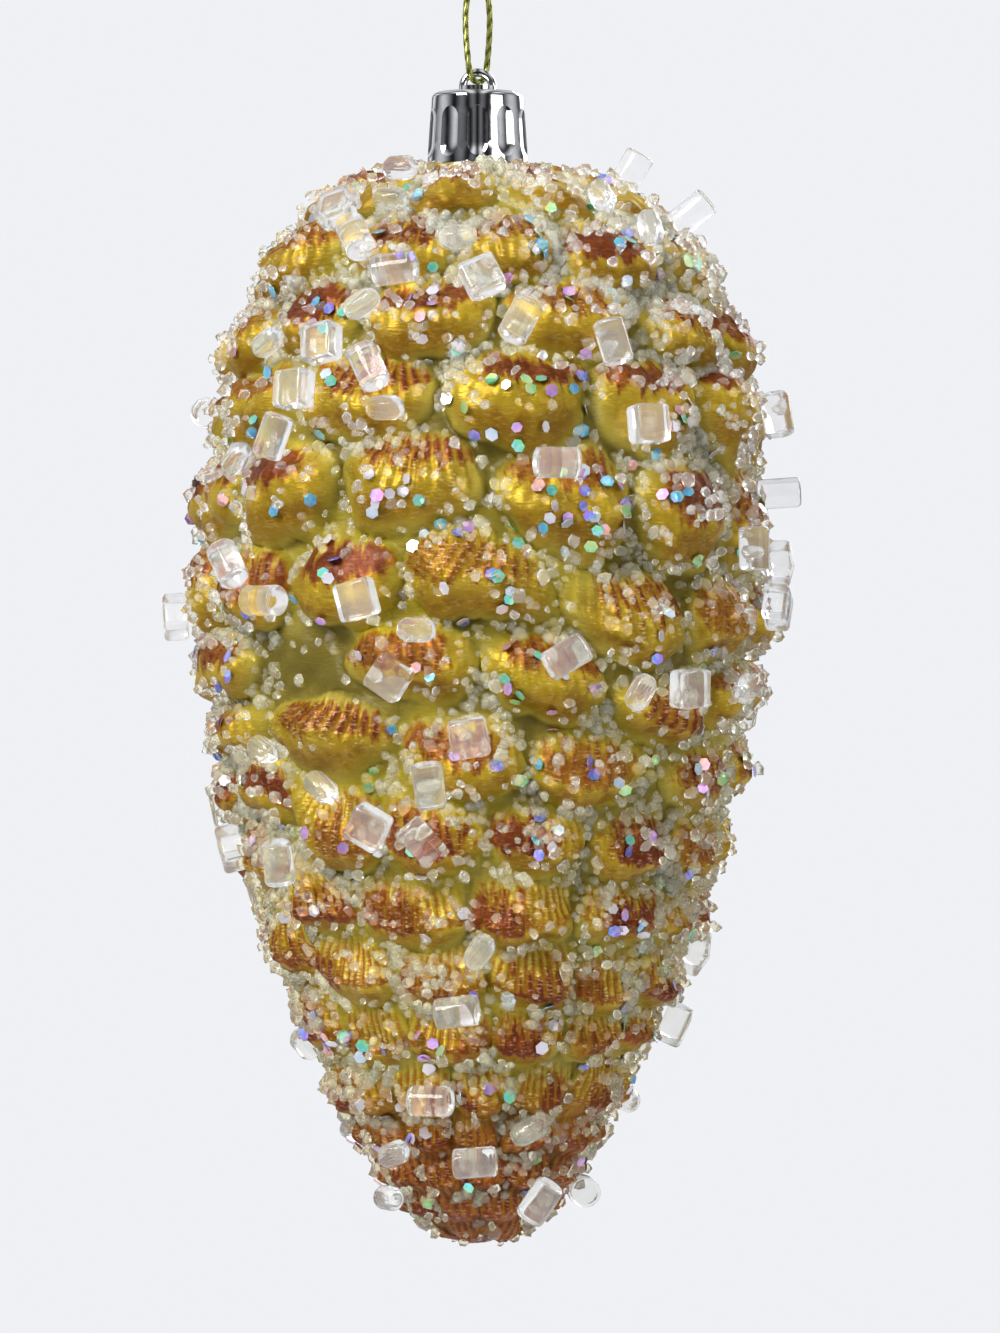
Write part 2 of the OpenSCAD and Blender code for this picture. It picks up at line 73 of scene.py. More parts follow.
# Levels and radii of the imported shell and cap, in metres
TIP_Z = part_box("cone_shell")[0].z
CAP_FOOT_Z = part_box("cap")[0].z
CAP_FIT = 0.15 * MM
CONE_H = CAP_FOOT_Z - CAP_FIT - TIP_Z
NECK_R = 4.75 * MM
NECK_TOP_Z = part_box("cone_shell")[1].z
SEAT_R = 7.1 * MM

# Outline across the lips, as (share of the height, share of the widest radius)
OUTLINE = [
    (0, 0.10), (0.04, 0.30), (0.12, 0.475), (0.22, 0.665), (0.33, 0.815),
    (0.46, 0.94), (0.58, 1), (0.70, 0.995), (0.80, 0.94),
    (0.88, 0.84), (0.94, 0.70), (0.975, 0.52), (1, 0.30),
]
# Lip size along the height, as a share of the largest lip
LIP_SIZE = [(0, 0.35), (0.1, 0.6), (0.35, 0.85), (0.55, 1), (0.9, 1), (1, 0.7)]
# Sideways drift of the body along the height, in millimetres
DRIFT = [(0, 0.3), (0.65, 0.396), (0.8, 1.2), (0.94, 1.2), (1, 0)]
# Part of the way from one lip to the next that the underside takes
UNDERSIDE = [(0, 0.3), (0.4, 0.34), (0.62, 0.5), (0.75, 0.6), (1, 0.6)]
# Part of the way up from its lip that a round scale takes
UPPERSIDE = 0.55
# How much the scales are round pillows, where 0 is a straight ramp to a ledge
ROUNDNESS = [(0.25, 0), (0.5, 1)]
# Rows of scales from the top down, as (azimuth in degrees, lip height in percent)
ROWS = [
    [(-48, 96.8), (-12, 97.2), (26, 97), (60, 96.6)],
    [(-64, 91), (-23, 90.8), (7, 90.6), (34, 90.4), (72, 90.8)],
    [(-71, 82.4), (-45, 84.6), (-16, 84.6), (22, 84.6), (55, 83.2), (80, 82.6)],
    [(-61, 77.4), (-28, 77.4), (8, 77.2), (38, 77.6), (67, 77.8)],
    [(-74, 68.6), (-46, 69.4), (-17, 70.2), (20, 67.6), (47, 66.6), (72, 66)],
    [(-80, 59.4), (-55, 59.2), (-30, 59.6), (-2, 61.4), (35, 56), (61, 56.6)],
    [(-74, 52.6), (-12, 53.4), (12, 52), (45, 48), (66, 50.2)],
    [(-36, 47.5), (0, 44.2), (22, 43), (64, 42.4)],
    [(-61, 42.4), (-36, 37), (-11, 36.8), (15, 36.8), (38, 36), (65, 35.6)],
    [(-66, 35.4), (-50, 31), (-18, 29.8), (12, 30.2), (40, 30.4), (68, 29.6)],
    [(-66, 27.4), (-40, 25), (-10, 24.2), (15, 24.2), (42, 23.2), (65, 23.6)],
    [(-66, 19.6), (-38, 18.4), (-9, 19), (17, 19), (42, 19.4), (65, 19.8)],
    [(-53, 13.4), (-22, 13.6), (0, 13.4), (25, 13.6), (51, 13.4)],
    [(-54, 9.8), (-26, 10), (-2, 9.8), (21, 10), (54, 9.8)],
    [(-50, 6.4), (-21, 6.2), (4, 6.4), (29, 6.4), (60, 6.2)],
    [(-46, 3.2), (-16, 3), (16, 3.2), (55, 3.2)],
    [(-70, 0.8), (-20, 0.7), (35, 0.7), (85, 0.8)],
]
# Scales around each of those rows
AROUND = [10, 12, 13, 13, 13, 13, 13, 13, 13, 13, 13, 13, 12, 12, 11, 9, 6]
# Widest half of a scale, in degrees
WIDEST_HALF = 19
# Scales with clear ridges, as their row and place in it: (lean, strength)
RIDGED = {
    (3, 1): (0.1, 0.8), (4, 2): (0.1, 0.9), (5, 3): (0.35, 0.9), (5, 4): (-0.25, 1.0),
    (6, 3): (0.2, 0.9), (7, 0): (0.35, 1.0), (7, 3): (-0.3, 0.9), (8, 1): (0.2, 0.9),
}

# Route of the cord from the knot, through the eye and back, in millimetres
CORD_ROUTE = [
    (-0.6, 0, -0.05), (-0.65, 0, -1), (-1.2, -0.1, -3), (-1.55, -0.35, -6),
    (-1.5, -0.8, -9), (-1.3, -1.35, -11.6), (-1.15, -1.5, -13), (-0.95, -1.25, -14.1),
    (-0.5, -0.66, -14.75), (0, 0, -14.95), (0.5, 0.66, -14.75), (0.95, 1.25, -14.1),
    (1.15, 1.5, -13), (1.3, 1.35, -11.6), (1.5, 0.8, -9), (1.55, 0.35, -6),
    (1.2, 0.1, -3), (0.65, 0, -1), (0.6, 0, -0.05),
]

# Two ends of the cord above its knot, one the other turned half around, in millimetres
CORD_END = [(-0.6, 0, 0), (-0.35, 0, 0.9), (-0.3, 0, 2.0), (-0.75, 0.1, 3.4), (-1.15, 0.1, 5.1)]
HALF_TURN = (-1, -1, 1)

# Grid of the surface: columns around it, rings to a row, and rings above the first row
COLUMNS = 640
RINGS_PER_ROW = 18
TOP_RINGS = 9
# Rings at the top that the ridges leave plain, and that carry no grains
PLAIN_RINGS = 4
BARE_RINGS = 5
# Rows at which the surface is cut into the upper, middle and lower scales
CUT_ROWS = (5, 10)

# Turn of the back scales from row to row, as a part of the step between them
STAGGER = 0.22
# How far the back scales lie up or down, in percent of the height
BACK_WAVE = 0.6
# Degrees from one scale to the next on a wave, which keep neighbours unlike
UNLIKE_STEP = 137
# Each row's scales are numbered on from this many times the row's own number
NUMBERS_PER_ROW = 40
# How blunt a scale's sides are, where 2 is an ellipse
BLUNTNESS = 2.4
# Pitch and height of the broad folds and the small dents of the surface
FOLDS = (8 * MM, 0.65 * MM)
DENTS = (3.2 * MM, 0.16 * MM)
# Pitches of the brush marks, and of the clumps of grains and glitter
BRUSH = (1.3 * MM, 0.6 * MM)
GRAIN_CLUMPS = (11 * MM, 4 * MM)
GLITTER_CLUMPS = 16 * MM

# Seeds of the random values, by what they vary
SEEDS = {
    "lean": 5, "ridge place": 6, "paint tone": 7, "ridge strength": 8, "paint height": 9,
    "paint side": 10, "folds": 11, "dents": 12, "brush": 13, "fine brush": 14,
    "grains": 21, "grain clumps": 22, "small clumps": 23, "glitter": 31, "glitter clumps": 32,
}
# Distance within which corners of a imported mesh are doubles
DOUBLES = 0.01 * MM
# Height of a flake's middle over the surface
FLAKE_LIFT = 0.45 * MM
# Waves that are summed to a wobble, and about the largest value of their sum
WAVES = 7
WAVE_SUM = 3.2


def smooth(x):
    c = np.clip(x, 0, 1)
    return c * c * (3 - 2 * c)


def passing(x, width):
    """From 0 to 1 as x passes 0, within that width."""
    return smooth(x / width + 0.5)


def unit(vectors):
    """The same directions, each with a length of 1."""
    return vectors / np.maximum(np.linalg.norm(vectors, axis=-1, keepdims=True), 1e-12)


def through(points, steps):
    """A smooth curve through a list of points."""
    points = [np.array(p, float) for p in points]
    last = len(points) - 1
    curve = []
    for k in range(last):
        a, b, c, d = points[max(k - 1, 0)], points[k], points[k + 1], points[min(k + 2, last)]
        for step in range(steps):
            u = step / steps
            curve.append(0.5 * (2 * b + (c - a) * u + (2 * a - 5 * b + 4 * c - d) * u**2
                                + (3 * b - a - 3 * c + d) * u**3))
    curve.append(points[last])
    return np.array(curve)


def read_along(table, x):
    xs, ys = zip(*table)
    return np.interp(x, xs, ys)


SMOOTH_OUTLINE = through(OUTLINE, 8)


def outline_r(share):
    widest = bpy.context.scene.cone_form.cone_d / 2
    return widest * np.interp(share, SMOOTH_OUTLINE[:, 0], SMOOTH_OUTLINE[:, 1])


def lip_at(share):
    return bpy.context.scene.cone_form.lip_out * read_along(LIP_SIZE, share)


def valley_r(share):
    return np.maximum(outline_r(share) - lip_at(share), 1 * MM)


def height_share(points):
    """How high points lie on the cone, from 0 at its tip to 1 at the cap."""
    return (points[..., 2] - TIP_Z) / CONE_H


def wobble(points, pitch, use):
    """Gentle waves through space between about -1 and 1, of about that pitch."""
    rng = np.random.default_rng(SEEDS[use])
    waves = unit(rng.normal(size=(WAVES, 3)))
    waves *= rng.uniform(0.6, 1.6, WAVES)[:, None] * 2 * np.pi / pitch
    phases = rng.uniform(0, 2 * np.pi, WAVES)
    return np.sin(points @ waves.T + phases).sum(-1) / WAVE_SUM


def scale_tone(scale, use):
    """One steady random value from 0 to 1 for each scale."""
    return np.random.default_rng(SEEDS[use]).uniform(0, 1, len(ROWS) * NUMBERS_PER_ROW)[scale]


def whole_row(k):
    """A row's front scales, then its back ones, evenly spread and staggered by row."""
    front = ROWS[k]
    first, last = front[0], front[-1]
    gap = 360 + first[0] - last[0]
    count = max(math.floor(gap * AROUND[k] / 360 + 0.5) - 1, 1)
    stagger = STAGGER if k % 2 == 0 else -STAGGER
    back = []
    for n in range(1, count + 1):
        height = last[1] + (first[1] - last[1]) * n / (count + 1)
        height += BACK_WAVE * math.sin(math.radians(UNLIKE_STEP * n + 50 * k))
        back.append((last[0] + gap * (n + stagger) / (count + 1), height))
    return front + back


class RowLips:
    """The lips of one row at each azimuth around the cone.

    aside runs from 0 at the middle of a scale to 1 at its sides, and across is
    the same with a sign. share is the height of the lip, full how far it stands
    out there, scale the scale's number and width half its width in metres.
    round, size, strength and lean say how pillowy, how large and how ridged the
    scale is, and how its ridges slant.
    """

    def __init__(self, k, azimuths):
        row = np.array(whole_row(k) + [(ROWS[k][0][0] + 360, ROWS[k][0][1])])
        turn = np.where(azimuths < row[0, 0], azimuths + 360, azimuths)
        before = np.searchsorted(row[:, 0], turn, side="right") - 1
        gap = row[before + 1, 0] - row[before, 0]
        part = (turn - row[before, 0]) / gap
        reach = np.minimum(gap / 2, WIDEST_HALF)
        self.aside = np.minimum(np.minimum(part, 1 - part) * gap / reach, 1)
        self.across = np.where(part < 0.5, self.aside, -self.aside)
        nearest = (before + (part >= 0.5)) % (len(row) - 1)
        self.scale = nearest + NUMBERS_PER_ROW * k
        share = (row[before, 1] + (row[before + 1, 1] - row[before, 1]) * smooth(part)) / 100
        self.round = read_along(ROUNDNESS, share)
        self.full = (1 - self.aside**BLUNTNESS) ** 0.6
        self.width = reach * np.pi / 180 * outline_r(share)
        self.size = 0.92 + 0.13 * np.sin(np.radians(UNLIKE_STEP * nearest + 80 * k))
        bow = bpy.context.scene.cone_form.lip_bow / CONE_H * self.aside**2
        self.share = share + bow * read_along(LIP_SIZE, share)
        uneven = 0.15 + 0.65 * scale_tone(self.scale, "ridge strength") ** 1.3
        self.strength = uneven + (0.9 - uneven) * (1 - self.round)
        self.lean = (scale_tone(self.scale, "lean") - 0.5) * 0.35
        for (row_k, n), (lean, strength) in RIDGED.items():
            here = self.scale == n + NUMBERS_PER_ROW * row_k
            self.lean = np.where(here, lean, self.lean)
            self.strength = np.where(here, strength, self.strength)


def ridges(lips, up):
    """Height from 0 to 1 of the ridges that fan out over a scale towards its lip."""
    pitch = bpy.context.scene.cone_form.ridge_pitch * (0.8 + 0.35 * lips.round)
    count = np.maximum(np.round(lips.width / pitch), 2)
    fan = 1 - 0.38 * np.clip(up, 0, 1)
    phase = lips.across / fan - lips.lean * up
    place = scale_tone(lips.scale, "ridge place")
    return (0.5 + 0.5 * np.cos(2 * np.pi * (phase * count + place))) ** 1.4


def brush_marks(lips, up, pitch, use):
    """Marks of the brush between about -1 and 1, drawn out towards each scale's lip."""
    place = [lips.across * lips.width / pitch, up * 1.7, lips.scale * 3.7]
    return wobble(np.stack(np.broadcast_arrays(*place), -1), 1, use)


def red_paint(lips, up, comb):
    """How red a scale is at a place that lies up above its lip, or below it where negative.

    A round scale has one patch of paint, from below its lip to well up its back.
    On a low, flat scale the paint runs up the ridges as teeth, with a thin rim
    along the lip and some red in the grooves.
    """
    low = 1 - lips.round
    coarse, fine = BRUSH
    marks = brush_marks(lips, up, coarse, "brush") + 0.5 * brush_marks(lips, up, fine, "fine brush")
    shift = scale_tone(lips.scale, "paint height") - 0.5
    offset = scale_tone(lips.scale, "paint side") - 0.5
    tone = 0.55 + 0.5 * scale_tone(lips.scale, "paint tone")
    teeth = 0.04 + 0.36 * comb + 0.3 * shift
    top = (0.74 + 0.2 * shift) * lips.round + teeth * low + 0.15 * marks
    bottom = (0.1 + 0.55 * shift) * lips.round - 0.4 * low + 0.14 * marks
    band = passing(top - up, 0.22) * passing(up - bottom, 0.2)
    aside = np.abs(lips.across - (0.7 + 0.9 * low) * offset)
    side = 1 - smooth((aside - 0.62 + 0.2 * low - 0.12 * marks) / 0.3)
    rim = smooth(1 - np.abs(up - 0.03) / 0.12) * low * 0.5
    groove = 0.42 * (1 - comb) * low * smooth((0.95 - up) / 0.3)
    crests = 1 - 0.8 * (1 - comb) * lips.strength * lips.round
    return np.maximum(band * side * tone * crests,
                      np.maximum(rim, groove * smooth((up + 0.1) / 0.1)))


def around(azimuths, radius, share):
    """Points on the cone at azimuths, radii and height shares, in metres."""
    angle = np.radians(azimuths)
    x = radius * np.sin(angle) + read_along(DRIFT, share) * MM
    y = -radius * np.cos(angle)
    z = TIP_Z + share * CONE_H
    return np.stack(np.broadcast_arrays(x, y, z), -1)


def bulge(lips, away, edge=0.7):
    """How far a scale stands out, from 1 at its lip to 0 where it meets the valley.

    away is 0 along the lip and 1 at the scale's end above or below it. The
    scale runs out the more softly the larger edge is.
    """
    away = np.minimum(away, 1)
    ledge = lips.full * (1 - away**2) ** 0.7
    span = np.maximum(1 - lips.aside**BLUNTNESS, 1e-6)
    pillow = span**0.8 * np.maximum(1 - away**2 / span, 0) ** edge
    return lips.size * (ledge + (pillow - ledge) * lips.round)


def relief(above, below, part):
    """Height, relief and paint a part of the way down from one row's lips to the next's.

    Gives the height share, how far the surface stands out, how red it is, how
    much it lies under a lip, and how high its ridges are.
    """
    down = part / read_along(UNDERSIDE, above.share)
    up = (1 - part) / (1 - (1 - UPPERSIDE) * below.round)
    share = above.share + (below.share - above.share) * part
    from_above = bulge(above, down)
    ramp = below.size * below.full * part**1.5
    pillow = bulge(below, (1 - part) / UPPERSIDE, 0.95)
    from_below = ramp + (pillow - ramp) * below.round
    belly = passing(from_above - from_below, 0.16)
    comb_above = ridges(above, -down)
    comb_below = ridges(below, up)
    rise = smooth(from_below / 0.35)
    swell = smooth(from_above / 0.3)
    slope_comb = comb_below * rise * below.strength
    lip_comb = comb_above * (1 - smooth(down / 0.4)) * above.strength * swell
    ridge = slope_comb * (1 - belly) + lip_comb * belly
    red_slope = red_paint(below, up, comb_below) * rise
    red_lip = red_paint(above, -down, comb_above) * swell
    red = red_slope * (1 - belly) + red_lip * belly
    tip = 1 - smooth((share - 0.08) / 0.1)
    red = np.maximum(red, tip * (0.5 + 0.35 * comb_below))
    return share, np.maximum(from_above, from_below), red, belly * smooth(down / 0.5), ridge


class ConeSurface:
    """The dressed surface of the cone as a grid of rings and columns.

    Its paint says how red each point is, how much it lies under a lip, how high
    its ridge is and how far it stands out, each from 0 to 1.
    """

    def __init__(self):
        self.azimuths = np.arange(COLUMNS) * 360 / COLUMNS - 180
        lips = [RowLips(k, self.azimuths) for k in range(len(ROWS))]
        self.rings, self.paints = [], []
        for radius, level in ((NECK_R, (NECK_TOP_Z - TIP_Z) / CONE_H), (NECK_R, 1), (SEAT_R, 1)):
            self.ring(radius, level, (0, 0, 0, 0.2))
        for n in range(1, TOP_RINGS):
            self.shoulder(lips[0], n / TOP_RINGS)
        for above, below in zip(lips, lips[1:]):
            for n in range(RINGS_PER_ROW):
                self.band(above, below, n / RINGS_PER_ROW)
        self.band(lips[-2], lips[-1], 1)
        for part in (0.8, 0.6, 0.4, 0.2):
            self.closing(lips[-1], part)
        self.paint = np.array(self.paints)
        self.points = self.roughened(np.array(self.rings))
        self.normals = grid_normals(self.points)

    def ring(self, radius, share, paint):
        """Adds a ring with the four values of its paint."""
        self.rings.append(around(self.azimuths, radius, share))
        self.paints.append(np.stack([np.broadcast_to(p, COLUMNS) for p in paint], -1))

    def shoulder(self, first, part):
        """A ring between the cap's seat and the first row's lips."""
        share = 1 + (first.share - 1) * part
        comb = ridges(first, 1 - part)
        radius = SEAT_R + (valley_r(first.share) - SEAT_R) * part**0.6
        out = bulge(first, 1 - part)
        swell = smooth(out / 0.35)
        red = red_paint(first, 1 - part, comb) * swell
        self.ring(radius + lip_at(share) * out, share, (red, 0, comb * swell * 0.5, out))

    def band(self, above, below, part):
        """A ring between two rows of lips."""
        share, out, red, belly, ridge = relief(above, below, part)
        self.ring(valley_r(share) + lip_at(share) * out, share, (red, belly, ridge, out))

    def closing(self, last, part):
        """A ring that draws in the last row's lips to the tip."""
        share = last.share * smooth(part) * 0.9
        radius = (valley_r(last.share) + lip_at(last.share) * last.full) * part
        self.ring(radius, share, (0.7, 0, 0, 0.6))

    def roughened(self, points):
        """The points pushed out along their normals by the ridges and small waves."""
        size = read_along(LIP_SIZE, height_share(points))
        push = bpy.context.scene.cone_form.ridge_height * self.paint[..., 2] * size
        push += FOLDS[1] * wobble(points, FOLDS[0], "folds") * size
        push += DENTS[1] * wobble(points, DENTS[0], "dents")
        push[:PLAIN_RINGS] = 0
        return points + grid_normals(points) * push[..., None]


def grid_normals(points):
    """Outward normals of a closed grid of rings."""
    along = np.roll(points, -1, 1) - np.roll(points, 1, 1)
    return unit(np.cross(np.gradient(points, axis=0), along))


@cache
def cone_surface():
    """The surface that the scales, the grains and the glitter share."""
    return ConeSurface()


def select_only(*objects):
    """Selects these objects alone, the first of them active."""
    bpy.ops.object.select_all(action="DESELECT")
    for obj in objects:
        obj.select_set(True)
    if objects:
        bpy.context.view_layer.objects.active = objects[0]


def finish_piece(obj, material, replaces=()):
    """Gives a finished piece its material and its body, and hides the nodes that it stands for."""
    obj.data.materials.clear()
    obj.data.materials.append(material)
    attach(obj, "root")
    if replaces:
        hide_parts(*replaces)
    return obj


def mesh_piece(name, points, faces):
    """A new object of arrays of points and same-sized faces."""
    count, corners = faces.shape
    mesh = bpy.data.meshes.new(name)
    mesh.vertices.add(len(points))
    mesh.vertices.foreach_set("co", np.asarray(points, np.float32).ravel())
    mesh.loops.add(count * corners)
    mesh.loops.foreach_set("vertex_index", np.asarray(faces, np.int32).ravel())
    mesh.polygons.add(count)
    mesh.polygons.foreach_set("loop_start", np.arange(count, dtype=np.int32) * corners)
    mesh.update(calc_edges=True)
    mesh.validate()
    obj = bpy.data.objects.new(name, mesh)
    bpy.context.scene.collection.objects.link(obj)
    return obj


def add_faces(obj, loops):
    """Closes a mesh with a face over each loop of corner numbers."""
    bm = bmesh.new()
    bm.from_mesh(obj.data)
    bm.verts.ensure_lookup_table()
    for loop in loops:
        bm.faces.new([bm.verts[k] for k in loop])
    bm.to_mesh(obj.data)
    bm.free()


def tube_piece(name, rings, layer, colours, crease):
    """A closed tube of rings of points, with a colour at each point."""
    count, columns = rings.shape[:2]
    rim = np.arange(columns)
    a = np.arange(count - 1)[:, None] * columns + rim
    b = np.arange(count - 1)[:, None] * columns + (rim + 1) % columns
    faces = np.stack([a, a + columns, b + columns, b], -1).reshape(-1, 4)
    obj = mesh_piece(name, rings.reshape(-1, 3), faces)
    set_colour(obj, layer, colours.reshape(-1, 4))
    add_faces(obj, (rim, (count - 1) * columns + rim[::-1]))
    smooth_shading(obj, crease)
    return obj


def set_colour(obj, name, values):
    layer = obj.data.attributes.new(name, "FLOAT_COLOR", "POINT")
    layer.data.foreach_set("color", np.asarray(values, np.float32).ravel())


def smooth_shading(obj, crease=180):
    """Smooth shading, apart from edges sharper than crease, in degrees."""
    select_only(obj)
    if crease < 180:
        bpy.ops.object.shade_smooth_by_angle(angle=math.radians(crease))
    else:
        bpy.ops.object.shade_smooth()
    obj.select_set(False)


class Nodes:
    """Short calls for building the nodes of a material or of the world."""

    def __init__(self, owner):
        owner.use_nodes = True
        self.owner = owner
        self.tree = owner.node_tree
        self.shader = self.tree.nodes.get("Principled BSDF")

    def add(self, kind, **settings):
        node = self.tree.nodes.new(kind)
        for key, value in settings.items():
            setattr(node, key, value)
        return node

    def feed(self, socket, value):
        """Links a socket to another, or writes a number or a colour on it."""
        if isinstance(value, bpy.types.NodeSocket):
            self.tree.links.new(value, socket)
        elif isinstance(value, (int, float)):
            socket.default_value = value
        else:
            socket.default_value = (*value[:3], 1)

    def object_coordinates(self):
        return self.add("ShaderNodeTexCoord").outputs["Object"]

    def attribute(self, name):
        return self.add("ShaderNodeAttribute", attribute_name=name).outputs

    def split(self, colour):
        """The red, green and blue of a colour."""
        node = self.add("ShaderNodeSeparateColor")
        self.feed(node.inputs["Color"], colour)
        return node.outputs[:3]

    def parts(self, place):
        """The x, y and z of a place or a direction."""
        node = self.add("ShaderNodeSeparateXYZ")
        self.feed(node.inputs[0], place)
        return node.outputs[:3]

    def noise(self, scale, detail, roughness, flatten=1.0):
        node = self.add("ShaderNodeTexNoise")
        node.inputs["Scale"].default_value = scale
        node.inputs["Detail"].default_value = detail
        node.inputs["Roughness"].default_value = roughness
        stretch = self.add("ShaderNodeMapping")
        stretch.inputs["Scale"].default_value = (1, 1, flatten)
        self.feed(stretch.inputs["Vector"], self.object_coordinates())
        self.feed(node.inputs["Vector"], stretch.outputs["Vector"])
        return node.outputs["Fac"]

    def height(self, low, high):
        """From 0 at one height share of the cone to 1 at another."""
        z = self.parts(self.object_coordinates())[2]
        return self.span(z, TIP_Z + low * CONE_H, TIP_Z + high * CONE_H)

    def math(self, operation, a, b):
        node = self.add("ShaderNodeMath", operation=operation)
        self.feed(node.inputs[0], a)
        self.feed(node.inputs[1], b)
        return node.outputs[0]

    def span(self, value, low, high, to_low=0.0, to_high=1.0, curve="SMOOTHSTEP"):
        """Turns the values from low to high into those from to_low to to_high."""
        node = self.add("ShaderNodeMapRange", interpolation_type=curve)
        for name, number in (("Value", value), ("From Min", low), ("From Max", high),
                             ("To Min", to_low), ("To Max", to_high)):
            self.feed(node.inputs[name], number)
        return node.outputs["Result"]

    def mix(self, amount, a, b, blend="MIX"):
        node = self.add("ShaderNodeMix", data_type="RGBA", blend_type=blend)
        sockets = [s for s in node.inputs if s.enabled]
        for socket, value in zip(sockets, (amount, a, b)):
            self.feed(socket, value)
        return [s for s in node.outputs if s.enabled][0]

    def either(self, amount, a, b):
        """A mix of two shaders."""
        node = self.add("ShaderNodeMixShader")
        for socket, value in zip(node.inputs, (amount, a, b)):
            self.feed(socket, value)
        return node.outputs[0]

    def bump(self, height, strength, distance):
        node = self.add("ShaderNodeBump")
        node.inputs["Strength"].default_value = strength
        node.inputs["Distance"].default_value = distance
        self.feed(node.inputs["Height"], height)
        self.set(Normal=node.outputs["Normal"])

    def set(self, **values):
        """Sets the shader's inputs, with an underscore for each space in their names."""
        for name, value in values.items():
            self.feed(self.shader.inputs[name.replace("_", " ")], value)


def new_material(name):
    return Nodes(bpy.data.materials.new(name))


def lacquer_material():
    """Olive-gold pearl lacquer with copper-red paint brushed over the lips."""
    looks = bpy.context.scene.cone_looks
    n = new_material("pearl_lacquer")
    paint = n.attribute("paint")
    red, belly, ridge = n.split(paint["Color"])
    out = paint["Alpha"]
    broad = n.noise(70, 2, 0.5)
    blotch = n.noise(300, 3, 0.6)
    fleck = n.noise(1300, 3, 0.7)
    wrinkle = n.noise(1000, 2, 0.6, 3.2)
    # Lacquer, olive in the valleys and golden on the scales
    olive = n.mix(n.span(broad, 0.35, 0.65), looks.valley[:], looks.valley_light[:])
    # Darker gold painted on as shade where the surface lies under a lip, and in random blotches
    shade = n.math("ADD", n.math("MULTIPLY", belly, 0.75), n.span(blotch, 0.4, 0.7, 0.0, 0.6))
    golden = n.mix(shade, looks.gold[:], looks.deep_gold_and_shade[:])
    gilded = n.span(out, 0.05, 0.7)
    base = n.mix(gilded, olive, golden)
    # Copper-red paint with a worn, orange fringe
    worn = n.math("ADD", red, n.math("MULTIPLY", n.math("SUBTRACT", fleck, 0.5), 0.8))
    amount = n.span(worn, 0.3, 0.8)
    copper = n.mix(n.span(blotch, 0.35, 0.62), looks.copper[:], looks.copper_deep[:])
    fringe = n.mix(n.span(worn, 0.02, 0.4), base, looks.orange[:])
    colour = n.mix(amount, fringe, copper)
    # Shade painted dark deep in the creases between the scales, and painted glints
    depth = n.math("MULTIPLY", n.span(out, 0.0, 0.3, 1.0, 0.0), n.span(broad, 0.4, 0.6, 0.05, 0.8))
    colour = n.mix(depth, colour, looks.crease[:])
    # Painted glints along the ridge crests of the raised scales, in gold and in copper-red
    crest = n.math("MULTIPLY", n.span(ridge, 0.1, 0.6, 0.2, 1.0), gilded)
    painted_glint = n.math("MULTIPLY", n.span(wrinkle, 0.53, 0.63, 0.0, 0.85), crest)
    painted_glint_colour = n.mix(amount, looks.gold_painted_glint[:], looks.copper_painted_glint[:])
    n.set(Base_Color=n.mix(painted_glint, colour, painted_glint_colour), Metallic=n.span(gilded, 0.1, 0.9, 0.05, 0.4),
          Roughness=n.span(blotch, 0.3, 0.7, 0.36, 0.52),
          Specular_IOR_Level=0.22, Coat_Weight=0.04, Coat_Roughness=0.2)
    n.bump(n.math("ADD", n.math("MULTIPLY", wrinkle, 0.9), blotch), 0.6, 0.2 * MM)
    return n.owner


def clear_material(name, tint, shade_tint, roughness, transmission, density):
    """Clear plastic that lets the lamps' light through to what it is stuck on.

    density is its index of refraction. Its second tint, darker and yellower, is painted
    on as shade towards the tip, and down between the scales where the attribute raised is low.
    """
    n = new_material(name)
    shadow = n.add("ShaderNodeLightPath").outputs["Is Shadow Ray"]
    lit_through = n.add("ShaderNodeBsdfTransparent")
    n.feed(lit_through.inputs["Color"], (0.9, 0.9, 0.88))
    either = n.either(shadow, n.shader.outputs[0], lit_through.outputs[0])
    n.feed(n.tree.nodes["Material Output"].inputs["Surface"], either)
    cloud = n.noise(520, 2, 0.5)
    raised = n.span(n.attribute("raised")["Fac"], 0.15, 0.75, 0.3, 1.0)
    # Darker, yellower tint painted on as shade low on the cone and deep between the scales
    clear = n.mix(n.math("MULTIPLY", n.height(0.2, 0.75), raised), shade_tint, tint)
    milky = [c * 0.85 for c in shade_tint]
    n.set(Base_Color=n.mix(n.span(cloud, 0.35, 0.7, 0.0, 0.3), clear, milky),
          Roughness=n.span(cloud, 0.3, 0.7, roughness * 0.6, roughness * 1.5),
          Transmission_Weight=transmission, IOR=density)
    n.bump(cloud, 0.25, 0.1 * MM)
    return n.owner


def glitter_material():
    """Coloured foil under a clear coat."""
    n = new_material("glitter_foil")
    speck = n.span(n.noise(1500, 1, 0.5), 0.4, 0.65, 0.0, 0.25)
    n.set(Base_Color=n.mix(speck, n.attribute("tint")["Color"], (1, 1, 1)), Metallic=0.5,
          Roughness=0.22, Coat_Weight=0.6, Coat_Roughness=0.05)
    return n.owner


def chrome_material():
    """Bright chrome plate with a faint mist on it."""
    n = new_material("chrome_plate")
    mist = n.noise(700, 2, 0.5)
    n.set(Base_Color=n.mix(n.span(mist, 0.4, 0.7), (0.80, 0.81, 0.82), (0.70, 0.71, 0.72)),
          Roughness=n.span(mist, 0.35, 0.7, 0.04, 0.1), Metallic=1.0)
    n.bump(mist, 0.06, 0.05 * MM)
    return n.owner


